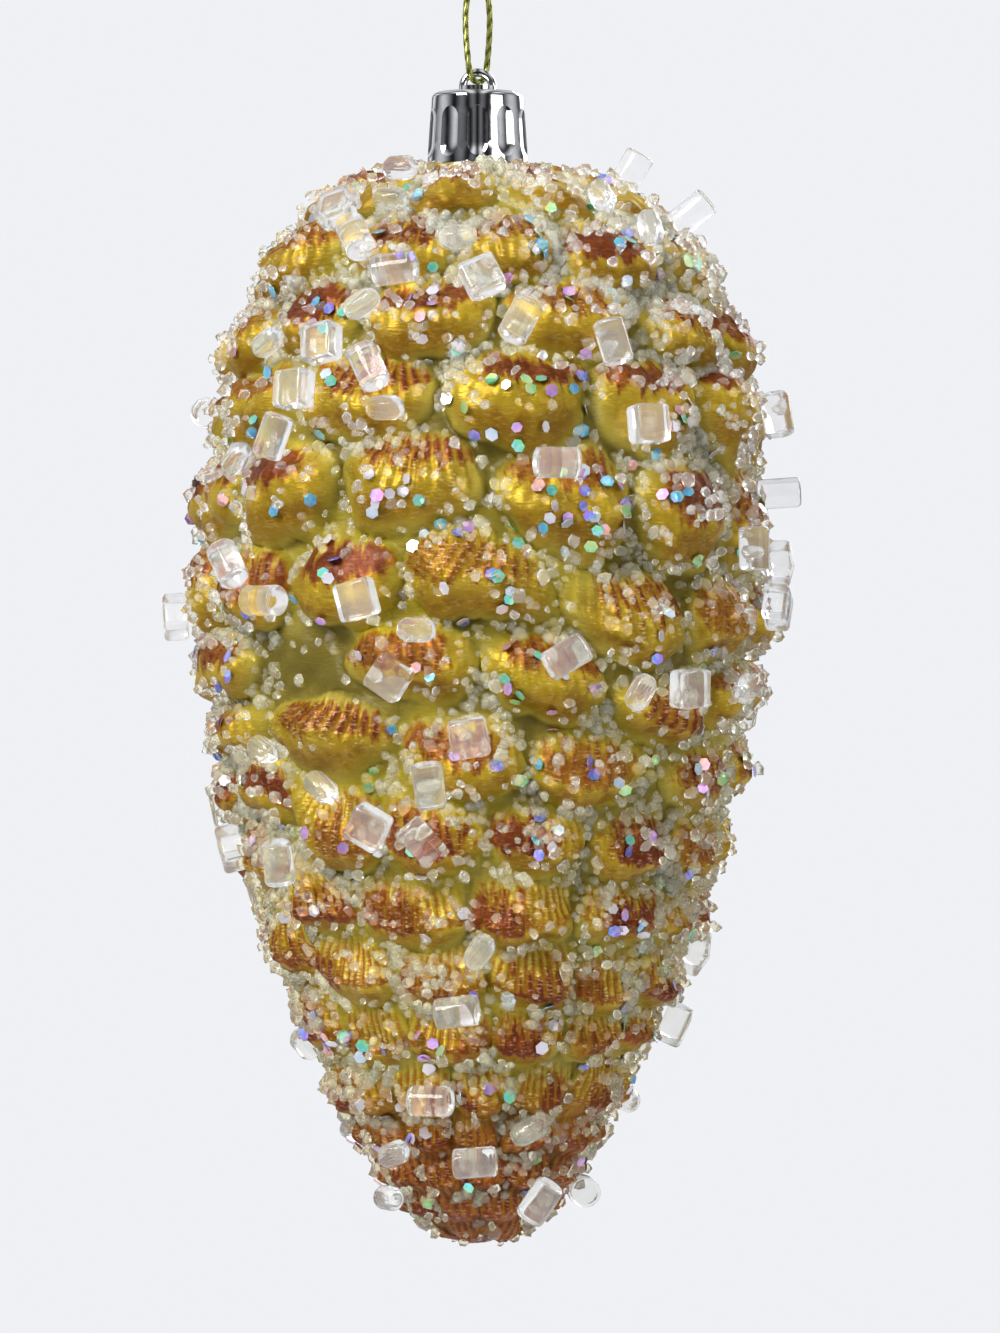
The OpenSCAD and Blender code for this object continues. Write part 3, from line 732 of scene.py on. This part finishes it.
def thread_material():
    """Metallic thread, with shade painted dark in the grooves between its strands, and painted
    glints.
    """
    looks = bpy.context.scene.cone_looks
    n = new_material("metallic_thread")
    light = n.split(n.attribute("twist")["Color"])[1]
    fleck = n.noise(2600, 2, 0.6)
    colour = n.mix(n.span(light, 0.2, 0.9), looks.thread_groove_shade[:], looks.thread[:])
    colour = n.mix(n.span(fleck, 0.55, 0.75, 0.0, 0.7), colour, looks.thread_painted_glint[:])
    n.set(Base_Color=colour, Metallic=0.7, Roughness=0.32)
    n.bump(fleck, 0.4, 0.06 * MM)
    return n.owner


class ConeForm(bpy.types.PropertyGroup):
    """Sizes of the cone's scales."""

    cone_d: FloatProperty(name="Width across the lips", default=76 * MM, unit="LENGTH",
                          description="Width of the cone at its widest place")
    lip_out: FloatProperty(name="Lip", default=4.4 * MM, unit="LENGTH",
                           description="How far the largest lips stand out")
    lip_bow: FloatProperty(name="Lip bow", default=1.8 * MM, unit="LENGTH",
                           description="How far a lip rises to the sides of its scale")
    ridge_pitch: FloatProperty(name="Ridge pitch", default=1.5 * MM, unit="LENGTH",
                               description="Distance between the ridges on a scale")
    ridge_height: FloatProperty(name="Ridge height", default=0.45 * MM, unit="LENGTH",
                                description="How far the ridges stand out")


class ConeLooks(bpy.types.PropertyGroup):
    """Colours of the lacquer, the paint and the thread, with the shade and glints painted on them.
    """

    valley: FloatVectorProperty(name="Valley", subtype="COLOR", default=(0.40, 0.315, 0.022),
                                description="Olive lacquer in the valleys")
    valley_light: FloatVectorProperty(name="Valley, light", subtype="COLOR",
                                      default=(0.51, 0.42, 0.06),
                                      description="Paler olive in the valleys")
    gold: FloatVectorProperty(name="Gold", subtype="COLOR", default=(0.58, 0.39, 0.020),
                              description="Golden lacquer under the lips")
    # Darker gold, painted on as shade under the lips and in random blotches
    deep_gold_and_shade: FloatVectorProperty(name="Gold, deep", subtype="COLOR", default=(0.30, 0.15, 0.005),
                                   description="Deeper gold under the lips")
    orange: FloatVectorProperty(name="Orange", subtype="COLOR", default=(0.37, 0.15, 0.009),
                                description="Thin copper-red paint over the gold")
    copper: FloatVectorProperty(name="Copper", subtype="COLOR", default=(0.25, 0.055, 0.007),
                                description="Copper-red paint on the lips")
    copper_deep: FloatVectorProperty(name="Copper, deep", subtype="COLOR",
                                     default=(0.15, 0.027, 0.004),
                                     description="Deeper copper-red on the lips")
    # Shade painted dark deep between the scales
    crease: FloatVectorProperty(name="Crease", subtype="COLOR", default=(0.10, 0.07, 0.006),
                                description="Darker lacquer deep between the scales")
    # Painted glints on the golden lacquer and on the copper-red paint
    gold_painted_glint: FloatVectorProperty(name="Gold glints", subtype="COLOR",
                                    default=(0.80, 0.62, 0.22),
                                    description="Bright flecks of the golden lacquer")
    copper_painted_glint: FloatVectorProperty(name="Copper glints", subtype="COLOR",
                                      default=(0.52, 0.26, 0.17),
                                      description="Bright flecks of the copper-red paint")
    # Lit crowns of the thread, shade painted in its grooves, and its painted glints
    thread: FloatVectorProperty(name="Thread", subtype="COLOR", default=(0.50, 0.50, 0.12),
                                description="Lit side of the metallic thread")
    thread_groove_shade: FloatVectorProperty(name="Thread, dark", subtype="COLOR",
                                     default=(0.12, 0.14, 0.02),
                                     description="Grooves of the metallic thread")
    thread_painted_glint: FloatVectorProperty(name="Thread, light", subtype="COLOR",
                                      default=(0.80, 0.85, 0.45),
                                      description="Glints of the metallic thread")


class CoatForm(bpy.types.PropertyGroup):
    """Sizes and numbers of the grains and the glitter."""

    grain_small: FloatProperty(name="Smallest grain", default=0.9 * MM, unit="LENGTH",
                               description="Width of the smallest grains")
    grain_large: FloatProperty(name="Largest grain", default=2.6 * MM, unit="LENGTH",
                               description="Width of the largest grains")
    grains: IntProperty(name="Grains", default=12800, min=0,
                        description="Number of grains on the whole cone")
    flake_d: FloatProperty(name="Flake width", default=1.7 * MM, unit="LENGTH",
                           description="Width of a glitter flake")
    flakes: IntProperty(name="Flakes", default=620, min=0,
                        description="Number of glitter flakes on the whole cone")


class ORNAMENT_OT_scales(bpy.types.Operator):
    """Model the lacquered scales"""

    bl_idname = "ornament.scales"
    bl_label = "Scales"

    def execute(self, context):
        surface = cone_surface()
        material = lacquer_material()
        first = TOP_RINGS + 2
        cuts = [0, *(first + row * RINGS_PER_ROW for row in CUT_ROWS), len(surface.points) - 1]
        for k, name in enumerate(("upper_scales", "middle_scales", "lower_scales")):
            rings = slice(cuts[k], cuts[k + 1] + 1)
            obj = tube_piece(name, surface.points[rings], "paint", surface.paint[rings], 70)
            nodes = ("cone_shell",) if name == "middle_scales" else ()
            finish_piece(obj, material, nodes)
        return {"FINISHED"}


# Patches of the front with more or fewer grains than elsewhere, as
# (azimuth, height in percent, width in millimetres, times as many)
GRAIN_PATCHES = [
    (-38, 53, 9, 0.05), (-35, 62, 7, 0.5), (-26, 57, 8, 0.5), (-30, 47, 10, 0.6),
    (-15, 63, 9, 0.5), (5, 74, 10, 0.35), (20, 74, 9, 0.5), (-10, 73, 8, 0.6),
    (-17, 66, 7, 0.8), (20, 64, 6, 0.7), (0, 57, 7, 0.7), (-45, 75, 7, 0.6),
    (-20, 73, 6, 1.8), (14, 71, 6, 2.2), (10, 59, 5, 2.0), (-40, 65, 5, 1.8),
    (45, 84, 12, 2.4), (60, 78, 10, 2.2), (-40, 82, 10, 2.2), (-10, 81, 8, 1.8),
    (-20, 92, 8, 1.6), (25, 90, 9, 1.8), (-70, 60, 14, 1.8), (-78, 45, 14, 1.8),
    (75, 60, 14, 1.7), (30, 70, 7, 1.8), (45, 71, 8, 1.8), (-10, 49, 8, 2.0),
    (5, 40, 10, 1.6), (-60, 30, 12, 1.7), (60, 35, 12, 1.6), (-65, 10, 10, 1.6),
    (10, 53, 6, 0.5), (-36, 38, 6, 0.6),
]


# Patches of the front with more glitter flakes than elsewhere
GLITTER_PATCHES = [
    (-16, 69, 7, 5), (17, 68, 8, 7), (-2, 60, 7, 5), (18, 75.6, 6, 5), (2, 79, 6, 4),
    (-46, 87, 6, 4), (27, 88, 7, 4), (-13, 92, 7, 4), (60, 88.5, 7, 4), (-41, 66, 7, 4),
    (10, 51.5, 6, 4), (32, 30, 7, 5), (15, 29.6, 6, 4), (-16, 20.3, 5, 4), (45, 78.5, 7, 3),
    (-30, 13, 5, 3), (8, 64, 5, 3), (-4, 87, 6, 3),
]


def patch_weight(points, patches):
    """How many times as many pieces lie at each point as elsewhere."""
    weight = np.ones(points.shape[:-1])
    for azimuth, percent, width, times in patches:
        share = percent / 100
        centre = around(azimuth, outline_r(share), share)
        near = np.exp(-((points - centre) ** 2).sum(-1) / (width * MM) ** 2)
        weight *= times**near
    return weight


def scatter(rng, surface, weight, count):
    """Random places on the surface, more where the weight is greater.

    Gives the places, the normals there, and how far out on its scale each lies.
    """
    points = surface.points
    across = np.linalg.norm(np.roll(points, -1, 1) - points, axis=-1)[:-1]
    down = np.linalg.norm(points[1:] - points[:-1], axis=-1)
    chance = across * down * weight[:-1]
    chance[:BARE_RINGS] = 0
    chance = np.cumsum(chance.ravel())
    picks = np.searchsorted(chance, rng.uniform(0, chance[-1], count))
    ring, column = np.divmod(picks, COLUMNS)
    u, v = rng.uniform(0, 1, (2, count, 1))
    here = points[ring, column]
    beside = points[ring, (column + 1) % COLUMNS]
    below = points[ring + 1, column]
    places = here + u * (beside - here) + v * (below - here)
    return places, surface.normals[ring, column], surface.paint[ring, column, 3]


def random_turns(rng, count):
    """Random rotation matrices."""
    w, x, y, z = unit(rng.normal(size=(count, 4))).T
    return np.stack([
        np.stack([1 - 2 * (y * y + z * z), 2 * (x * y - z * w), 2 * (x * z + y * w)], -1),
        np.stack([2 * (x * y + z * w), 1 - 2 * (x * x + z * z), 2 * (y * z - x * w)], -1),
        np.stack([2 * (x * z - y * w), 2 * (y * z + x * w), 1 - 2 * (x * x + y * y)], -1),
    ], -2)


def template(add, **settings):
    """Points and faces of one small shape, modelled once to be copied."""
    select_only()
    add(**settings)
    obj = bpy.context.object
    points = np.array([v.co for v in obj.data.vertices])
    faces = [list(p.vertices) for p in obj.data.polygons]
    bpy.data.objects.remove(obj)
    return points, faces


def nuggets(rng, centres, size):
    """Corner points of an irregular grain at each centre, and the faces of one of them."""
    points, faces = template(bpy.ops.mesh.primitive_ico_sphere_add, subdivisions=1, radius=0.5)
    count = len(centres)
    shape = rng.uniform(0.62, 1.15, (count, 1, 3)) * size[:, None, None]
    jitter = rng.normal(0, 0.07, (count, len(points), 3))
    turned = np.einsum("nij,nkj->nki", random_turns(rng, count), (points + jitter) * shape)
    return turned + centres[:, None], np.array(faces)


def set_raised(obj, raised):
    """Marks how far out on its scale each point of a clear piece lies."""
    set_colour(obj, "raised", np.stack([raised, raised, raised, np.ones_like(raised)], -1))


def nugget_piece(name, spread, raised, faces, material, nodes=()):
    """One piece of many grains."""
    count, corners = spread.shape[:2]
    moved = (np.arange(count) * corners)[:, None, None] + faces
    obj = mesh_piece(name, spread.reshape(-1, 3), moved.reshape(-1, 3))
    set_raised(obj, np.repeat(raised, corners))
    smooth_shading(obj)
    finish_piece(obj, material, nodes)


def inside_box(spread):
    """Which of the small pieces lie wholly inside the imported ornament's box."""
    low, high = (np.array(corner) for corner in cad_box)
    return ((spread > low) & (spread < high)).all(axis=(1, 2))


class ORNAMENT_OT_grains(bpy.types.Operator):
    """Model the clear grains stuck on the scales"""

    bl_idname = "ornament.grains"
    bl_label = "Grains"

    def execute(self, context):
        coat = context.scene.coat_form
        surface = cone_surface()
        rng = np.random.default_rng(SEEDS["grains"])
        centres, normals, raised = scatter(rng, surface, self.weight(surface), coat.grains)
        larger = (coat.grain_large - coat.grain_small) * rng.beta(1.4, 3, coat.grains)
        size = coat.grain_small + larger
        spread, faces = nuggets(rng, centres + (0.28 * size)[:, None] * normals, size)
        # The second tint is shade painted on the grains low on the cone and deep between the scales
        material = clear_material("clear_grain", (0.99, 0.99, 0.98), (0.965, 0.945, 0.80), 0.13,
                                  0.86, 1.36)
        bands = np.quantile(centres[:, 2], [0, 0.34, 0.67, 1])
        for k, name in enumerate(("grains_low", "grains_middle", "grains_high")):
            here = (centres[:, 2] >= bands[k]) & (centres[:, 2] <= bands[k + 1] + (k == 2))
            here &= inside_box(spread)
            nugget_piece(name, spread[here], raised[here], faces, material)
        centres, size = self.coarse_cubes()
        spread, faces = nuggets(rng, centres, size * 0.92)
        nugget_piece("coarse_nuggets", spread, np.full(len(spread), 0.6), faces, material,
                     ("coarse_grains",))
        return {"FINISHED"}

    def weight(self, surface):
        """More grains low between the scales, in clumps, by the shoulder and by the tip."""
        broad, small = GRAIN_CLUMPS
        clump = wobble(surface.points, broad, "grain clumps")
        clump = clump + 0.6 * wobble(surface.points, small, "small clumps")
        low_place = (1.4 - surface.paint[..., 3]) ** 1.3
        share = height_share(surface.points)
        crowd = 1 + 0.25 * smooth((0.52 - share) / 0.15) + 0.7 * smooth((share - 0.82) / 0.1)
        return np.exp(0.9 * clump) * low_place * crowd * patch_weight(surface.points, GRAIN_PATCHES)

    def coarse_cubes(self):
        """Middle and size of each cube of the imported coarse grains, in a steady order."""
        bm = bmesh.new()
        bm.from_mesh(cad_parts["coarse_grains"].data)
        bmesh.ops.remove_doubles(bm, verts=bm.verts, dist=DOUBLES)
        left, centres, sizes = set(bm.verts), [], []
        while left:
            cube, rim = set(), [left.pop()]
            while rim:
                corner = rim.pop()
                cube.add(corner)
                beside = {edge.other_vert(corner) for edge in corner.link_edges} & left
                left -= beside
                rim.extend(beside)
            places = np.array([v.co for v in cube])
            centres.append(places.mean(0))
            sizes.append(np.ptp(places[:, 2]))
        bm.free()
        order = np.lexsort(np.round(np.array(centres), 6).T)
        return np.array(centres)[order], np.array(sizes)[order]


class ORNAMENT_OT_glitter(bpy.types.Operator):
    """Model the hexagonal glitter flakes"""

    bl_idname = "ornament.glitter"
    bl_label = "Glitter"

    # Two colours that each kind of flake shimmers between, the kinds' shares among
    # the flakes, and the corners of a flake
    TINTS = [
        ((0.42, 0.20, 0.95), (0.14, 0.36, 1.0)), ((0.15, 0.42, 1.0), (0.18, 0.85, 0.98)),
        ((0.18, 0.85, 0.92), (0.25, 0.92, 0.42)), ((0.22, 0.88, 0.38), (0.88, 0.93, 0.30)),
        ((0.98, 0.48, 0.82), (0.54, 0.32, 0.98)), ((1.0, 0.42, 0.22), (1.0, 0.55, 0.75)),
        ((0.95, 0.97, 1.0), (0.95, 0.80, 0.95)), ((0.85, 0.90, 1.0), (0.55, 0.75, 0.95)),
    ]
    SHARES = [0.17, 0.13, 0.13, 0.08, 0.12, 0.06, 0.20, 0.11]
    CORNERS = 6

    def execute(self, context):
        coat = context.scene.coat_form
        surface = cone_surface()
        rng = np.random.default_rng(SEEDS["glitter"])
        clump = wobble(surface.points, GLITTER_CLUMPS, "glitter clumps")
        weight = np.exp(0.8 * clump) * (0.25 + 0.8 * surface.paint[..., 3])
        weight *= patch_weight(surface.points, GLITTER_PATCHES)
        centres, normals, _ = scatter(rng, surface, weight, coat.flakes)
        points, _ = template(bpy.ops.mesh.primitive_cylinder_add, vertices=self.CORNERS,
                             radius=0.5, depth=0.05)
        points = points[np.lexsort((np.arctan2(points[:, 1], points[:, 0]), points[:, 2]))]
        axes = self.facings(rng, normals)
        size = coat.flake_d * rng.uniform(0.85, 1.1, coat.flakes)
        spread = np.einsum("nij,kj->nki", axes, points) * size[:, None, None]
        spread += (centres + normals * FLAKE_LIFT)[:, None]
        rim = np.arange(self.CORNERS)
        after = (rim + 1) % self.CORNERS
        wall = np.stack([rim, after, after + self.CORNERS, rim + self.CORNERS], -1)
        starts = np.arange(coat.flakes)[:, None] * len(points)
        walls = (starts[..., None] + wall).reshape(-1, 4)
        obj = mesh_piece("glitter_flakes", spread.reshape(-1, 3), walls)
        add_faces(obj, np.concatenate([starts + rim[::-1], starts + self.CORNERS + rim]))
        set_colour(obj, "tint", self.tints(rng, coat.flakes, 0.5 + points[:, 0]))
        finish_piece(obj, glitter_material())
        return {"FINISHED"}

    def facings(self, rng, normals):
        """Axes of the flakes, which lie nearly flat and are turned at random."""
        facing = unit(normals + rng.normal(0, 0.28, normals.shape))
        side = unit(np.cross(facing, rng.normal(size=normals.shape)))
        return np.stack([side, np.cross(facing, side), facing], -1)

    def tints(self, rng, count, blend):
        """A colour at each point of each flake, that changes across it by blend."""
        kind = rng.choice(len(self.TINTS), count, p=self.SHARES)
        pair = np.array(self.TINTS)[kind] * rng.uniform(0.75, 1.1, (count, 1, 1))
        tint = pair[:, :1] + (pair[:, 1:] - pair[:, :1]) * blend[None, :, None]
        opaque = np.ones((*tint.shape[:2], 1))
        return np.concatenate([np.clip(tint, 0, 1), opaque], -1).reshape(-1, 4)


class ORNAMENT_OT_pellets(bpy.types.Operator):
    """Model the clear cut pellets"""

    bl_idname = "ornament.pellets"
    bl_label = "Pellets"

    # Width of the rounding along the edges of each kind
    ROUNDINGS = {"rod_pellets": 0.35 * MM, "block_pellets": 0.6 * MM, "oval_pellets": 0.4 * MM}

    def execute(self, context):
        # The second tint is shade painted on the pellets low on the cone
        material = clear_material("clear_pellet", (0.98, 0.98, 0.99), (0.97, 0.97, 0.94), 0.09,
                                  0.9, 1.48)
        for node, width in self.ROUNDINGS.items():
            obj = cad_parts[node].copy()
            obj.data = obj.data.copy()
            obj.name = "clear_" + node
            obj.parent = None
            for key in list(obj.keys()):
                del obj[key]
            context.scene.collection.objects.link(obj)
            select_only(obj)
            self.merge(DOUBLES, math.radians(4))
            bevel = obj.modifiers.new("rounding", "BEVEL")
            bevel.width = width
            bevel.segments = 3
            bevel.limit_method = "ANGLE"
            bevel.angle_limit = math.radians(40)
            bpy.ops.object.modifier_apply(modifier=bevel.name)
            self.merge(DOUBLES / 5)
            smooth_shading(obj, 50)
            set_raised(obj, np.ones(len(obj.data.vertices)))
            finish_piece(obj, material, (node,))
        return {"FINISHED"}

    def merge(self, distance, flat=None):
        """Merges the selected piece's doubles, and its faces that are flat within an angle."""
        bpy.ops.object.mode_set(mode="EDIT")
        bpy.ops.mesh.select_all(action="SELECT")
        bpy.ops.mesh.remove_doubles(threshold=distance)
        if flat:
            bpy.ops.mesh.dissolve_limited(angle_limit=flat)
        bpy.ops.object.mode_set(mode="OBJECT")


class ORNAMENT_OT_cap(bpy.types.Operator):
    """Give the cap its chrome"""

    bl_idname = "ornament.cap"
    bl_label = "Cap"

    def execute(self, context):
        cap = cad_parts["cap"]
        cap.data.materials.clear()
        cap.data.materials.append(chrome_material())
        return {"FINISHED"}


def rope(name, path, diameter, pitch, sides=18):
    """A mesh tube of two twisted strands along a path."""
    ahead = unit(np.gradient(path, axis=0))
    side = [np.cross(ahead[0], (1.0, 0, 0.01))]
    for a in ahead:
        side.append(unit(side[-1] - a * (side[-1] @ a)))
    side = np.array(side[1:])
    other = np.cross(ahead, side)
    run = np.concatenate([[0], np.cumsum(np.linalg.norm(np.diff(path, axis=0), axis=1))])
    angle = -np.arange(sides) * 2 * np.pi / sides
    twist = run[:, None] / pitch * 2 * np.pi
    lobes = np.abs(np.cos(angle - twist / 2))
    radius = (diameter / 2 * (0.72 + 0.28 * lobes**0.7))[..., None]
    angle = angle[None, :, None]
    outward = side[:, None] * np.cos(angle) + other[:, None] * np.sin(angle)
    # Painted shade: low values in the grooves between the strands, high on their crowns
    shade = np.stack([1 - lobes, lobes**1.5, lobes, np.ones_like(lobes)], -1)
    return tube_piece(name, path[:, None] + radius * outward, "twist", shade, 60)


class ORNAMENT_OT_cord(bpy.types.Operator):
    """Model the twisted cord and its knot"""

    bl_idname = "ornament.cord"
    bl_label = "Cord"

    KNOT_TURNS = 2.6

    diameter: FloatProperty(name="Cord", default=0.85 * MM, unit="LENGTH",
                            description="Diameter of the cord")
    pitch: FloatProperty(name="Twist", default=1.8 * MM, unit="LENGTH",
                         description="Length of one turn of the strands")

    def execute(self, context):
        material = thread_material()
        path = through(CORD_ROUTE, 12) * MM
        cord = rope("metallic_cord", path, self.diameter, self.pitch)
        knot = self.knot(material)
        finish_piece(cord, material, ("hanging_cord",))
        return {"FINISHED"}

    def knot(self, material):
        """Turns around both strands, with the cord's two ends above them."""
        height = np.linspace(0, 1, 90)
        angle = height * self.KNOT_TURNS * 2 * np.pi
        swell = 0.55 + 0.43 * np.sin(np.pi * height) ** 0.5
        wrap = np.stack([swell * np.cos(angle), swell * np.sin(angle), 0.45 + 1.7 * height], -1)
        end = through(CORD_END, 10)
        parts = [rope("knot_part", run * MM, self.diameter * share, self.pitch)
                 for run, share in ((wrap, 1.0), (end, 0.8), (end * HALF_TURN, 0.8))]
        select_only(*parts)
        bpy.ops.object.join()
        parts[0].name = "tied_knot"
        return finish_piece(parts[0], material, ("cord_knot",))


class ORNAMENT_OT_stage(bpy.types.Operator):
    """Set up the floor, the light and the camera"""

    bl_idname = "ornament.stage"
    bl_label = "Stage"

    PALE = (0.865, 0.875, 0.905)
    DIM = (0.16, 0.16, 0.17)
    # Strength of the room's light
    ROOM_LIGHT = 0.62
    # How far below the tip the floor lies
    FLOOR_DROP = 0.35
    # Where the camera looks, as the way aside from the axis and up from the tip
    AIM = (2.9 * MM, 75 * MM)
    # Lamps: name, place from the cone's middle and size in metres, power in watts
    LAMPS = [
        ("key", (-0.55, -0.6, 0.6), 0.45, 8.0),
        ("fill", (0.7, -0.6, 0.1), 0.5, 1.6),
        ("back", (0.5, 0.75, 0.4), 0.5, 2.5),
    ]

    distance: FloatProperty(name="Camera distance", default=0.70, unit="LENGTH",
                            description="Distance from the camera to the cone's axis")
    view_height: FloatProperty(name="View height", default=173.3 * MM, unit="LENGTH",
                               description="Height of the view at the cone's axis")

    def execute(self, context):
        self.floor()
        self.world(context.scene)
        for lamp in self.LAMPS:
            self.lamp(*lamp)
        self.camera(context.scene)
        return {"FINISHED"}

    def floor(self):
        select_only()
        bpy.ops.mesh.primitive_circle_add(vertices=96, radius=0.9, fill_type="NGON",
                                          location=(0, 0, TIP_Z - self.FLOOR_DROP))
        floor = bpy.context.object
        floor.name = "pale_floor"
        n = new_material("pale_floor")
        speck = n.span(n.noise(30, 3, 0.5), 0.3, 0.7)
        n.set(Base_Color=n.mix(speck, self.PALE, [c * 0.985 for c in self.PALE]), Roughness=0.8)
        floor.data.materials.append(n.owner)

    def world(self, scene):
        """A pale backdrop behind the object and a dimmer room on the camera's side.

        Shiny surfaces mirror the room with dark strips in it, and the camera sees
        the plain backdrop everywhere.
        """
        scene.world = bpy.data.worlds.new("pale_room")
        n = Nodes(scene.world)
        direction = n.add("ShaderNodeTexCoord").outputs["Generated"]
        _, depth, height = n.parts(direction)
        pale = n.math("MAXIMUM", n.span(depth, -0.55, 0.15), n.span(height, 0.25, 0.7))
        room = n.mix(pale, self.DIM, self.PALE)
        strips = n.add("ShaderNodeTexWave")
        n.feed(strips.inputs["Scale"], 0.75)
        n.feed(strips.inputs["Vector"], direction)
        dark = n.span(strips.outputs["Fac"], 0, 1, 0.08, 1, "LINEAR")
        light = n.tree.nodes["Background"]
        light.inputs["Strength"].default_value = self.ROOM_LIGHT
        n.feed(light.inputs["Color"], room)
        mirrored = n.add("ShaderNodeBackground")
        n.feed(mirrored.inputs["Color"], n.mix(1.0, room, dark, "MULTIPLY"))
        seen = n.add("ShaderNodeBackground")
        n.feed(seen.inputs["Color"], self.PALE)
        rays = n.add("ShaderNodeLightPath").outputs
        glossy = n.either(rays["Is Glossy Ray"], light.outputs[0], mirrored.outputs[0])
        direct = n.math("MAXIMUM", rays["Is Camera Ray"], rays["Is Transmission Ray"])
        n.feed(n.tree.nodes["World Output"].inputs["Surface"],
               n.either(direct, glossy, seen.outputs[0]))
        scene.view_settings.view_transform = "Standard"

    def lamp(self, name, place, size, power):
        data = bpy.data.lights.new(name, "AREA")
        data.energy = power
        data.size = size
        lamp = bpy.data.objects.new(name, data)
        middle = Vector((0, 0, TIP_Z + CONE_H / 2))
        lamp.location = middle + Vector(place)
        lamp.rotation_euler = (-Vector(place)).to_track_quat("-Z", "Y").to_euler()
        bpy.context.scene.collection.objects.link(lamp)

    def camera(self, scene):
        data = bpy.data.cameras.new("camera")
        data.sensor_fit = "VERTICAL"
        data.sensor_height = 24.0
        data.lens = data.sensor_height * self.distance / self.view_height
        data.clip_start = 0.01
        camera = bpy.data.objects.new("camera", data)
        camera.location = (self.AIM[0], -self.distance, TIP_Z + self.AIM[1])
        camera.rotation_euler = (math.radians(90), 0, 0)
        scene.collection.objects.link(camera)
        scene.camera = camera


class ORNAMENT_PT_sidebar(bpy.types.Panel):
    """The ornament's pieces and sizes"""

    bl_idname = "ORNAMENT_PT_sidebar"
    bl_label = "Pine Cone Ornament"
    bl_space_type = "VIEW_3D"
    bl_region_type = "UI"
    bl_category = "Ornament"

    def draw(self, context):
        for group in (context.scene.cone_form, context.scene.cone_looks, context.scene.coat_form):
            box = self.layout.box()
            for name in group.__annotations__:
                box.prop(group, name)
        for operator in OPERATORS:
            self.layout.operator(operator.bl_idname)


OPERATORS = (ORNAMENT_OT_stage, ORNAMENT_OT_cord, ORNAMENT_OT_scales, ORNAMENT_OT_grains,
             ORNAMENT_OT_glitter, ORNAMENT_OT_pellets, ORNAMENT_OT_cap)
GROUPS = {"cone_form": ConeForm, "cone_looks": ConeLooks, "coat_form": CoatForm}


def register():
    for group in GROUPS.values():
        bpy.utils.register_class(group)
    for operator in OPERATORS:
        bpy.utils.register_class(operator)
    bpy.utils.register_class(ORNAMENT_PT_sidebar)
    for name, group in GROUPS.items():
        setattr(bpy.types.Scene, name, PointerProperty(type=group))


def unregister():
    for name in GROUPS:
        delattr(bpy.types.Scene, name)
    bpy.utils.unregister_class(ORNAMENT_PT_sidebar)
    for operator in reversed(OPERATORS):
        bpy.utils.unregister_class(operator)
    for group in reversed(GROUPS.values()):
        bpy.utils.unregister_class(group)


def main():
    register()
    bpy.ops.ornament.stage()
    bpy.ops.ornament.cord()
    bpy.ops.ornament.scales()
    bpy.ops.ornament.grains()
    bpy.ops.ornament.glitter()
    bpy.ops.ornament.pellets()
    bpy.ops.ornament.cap()


if __name__ == "__main__":
    main()
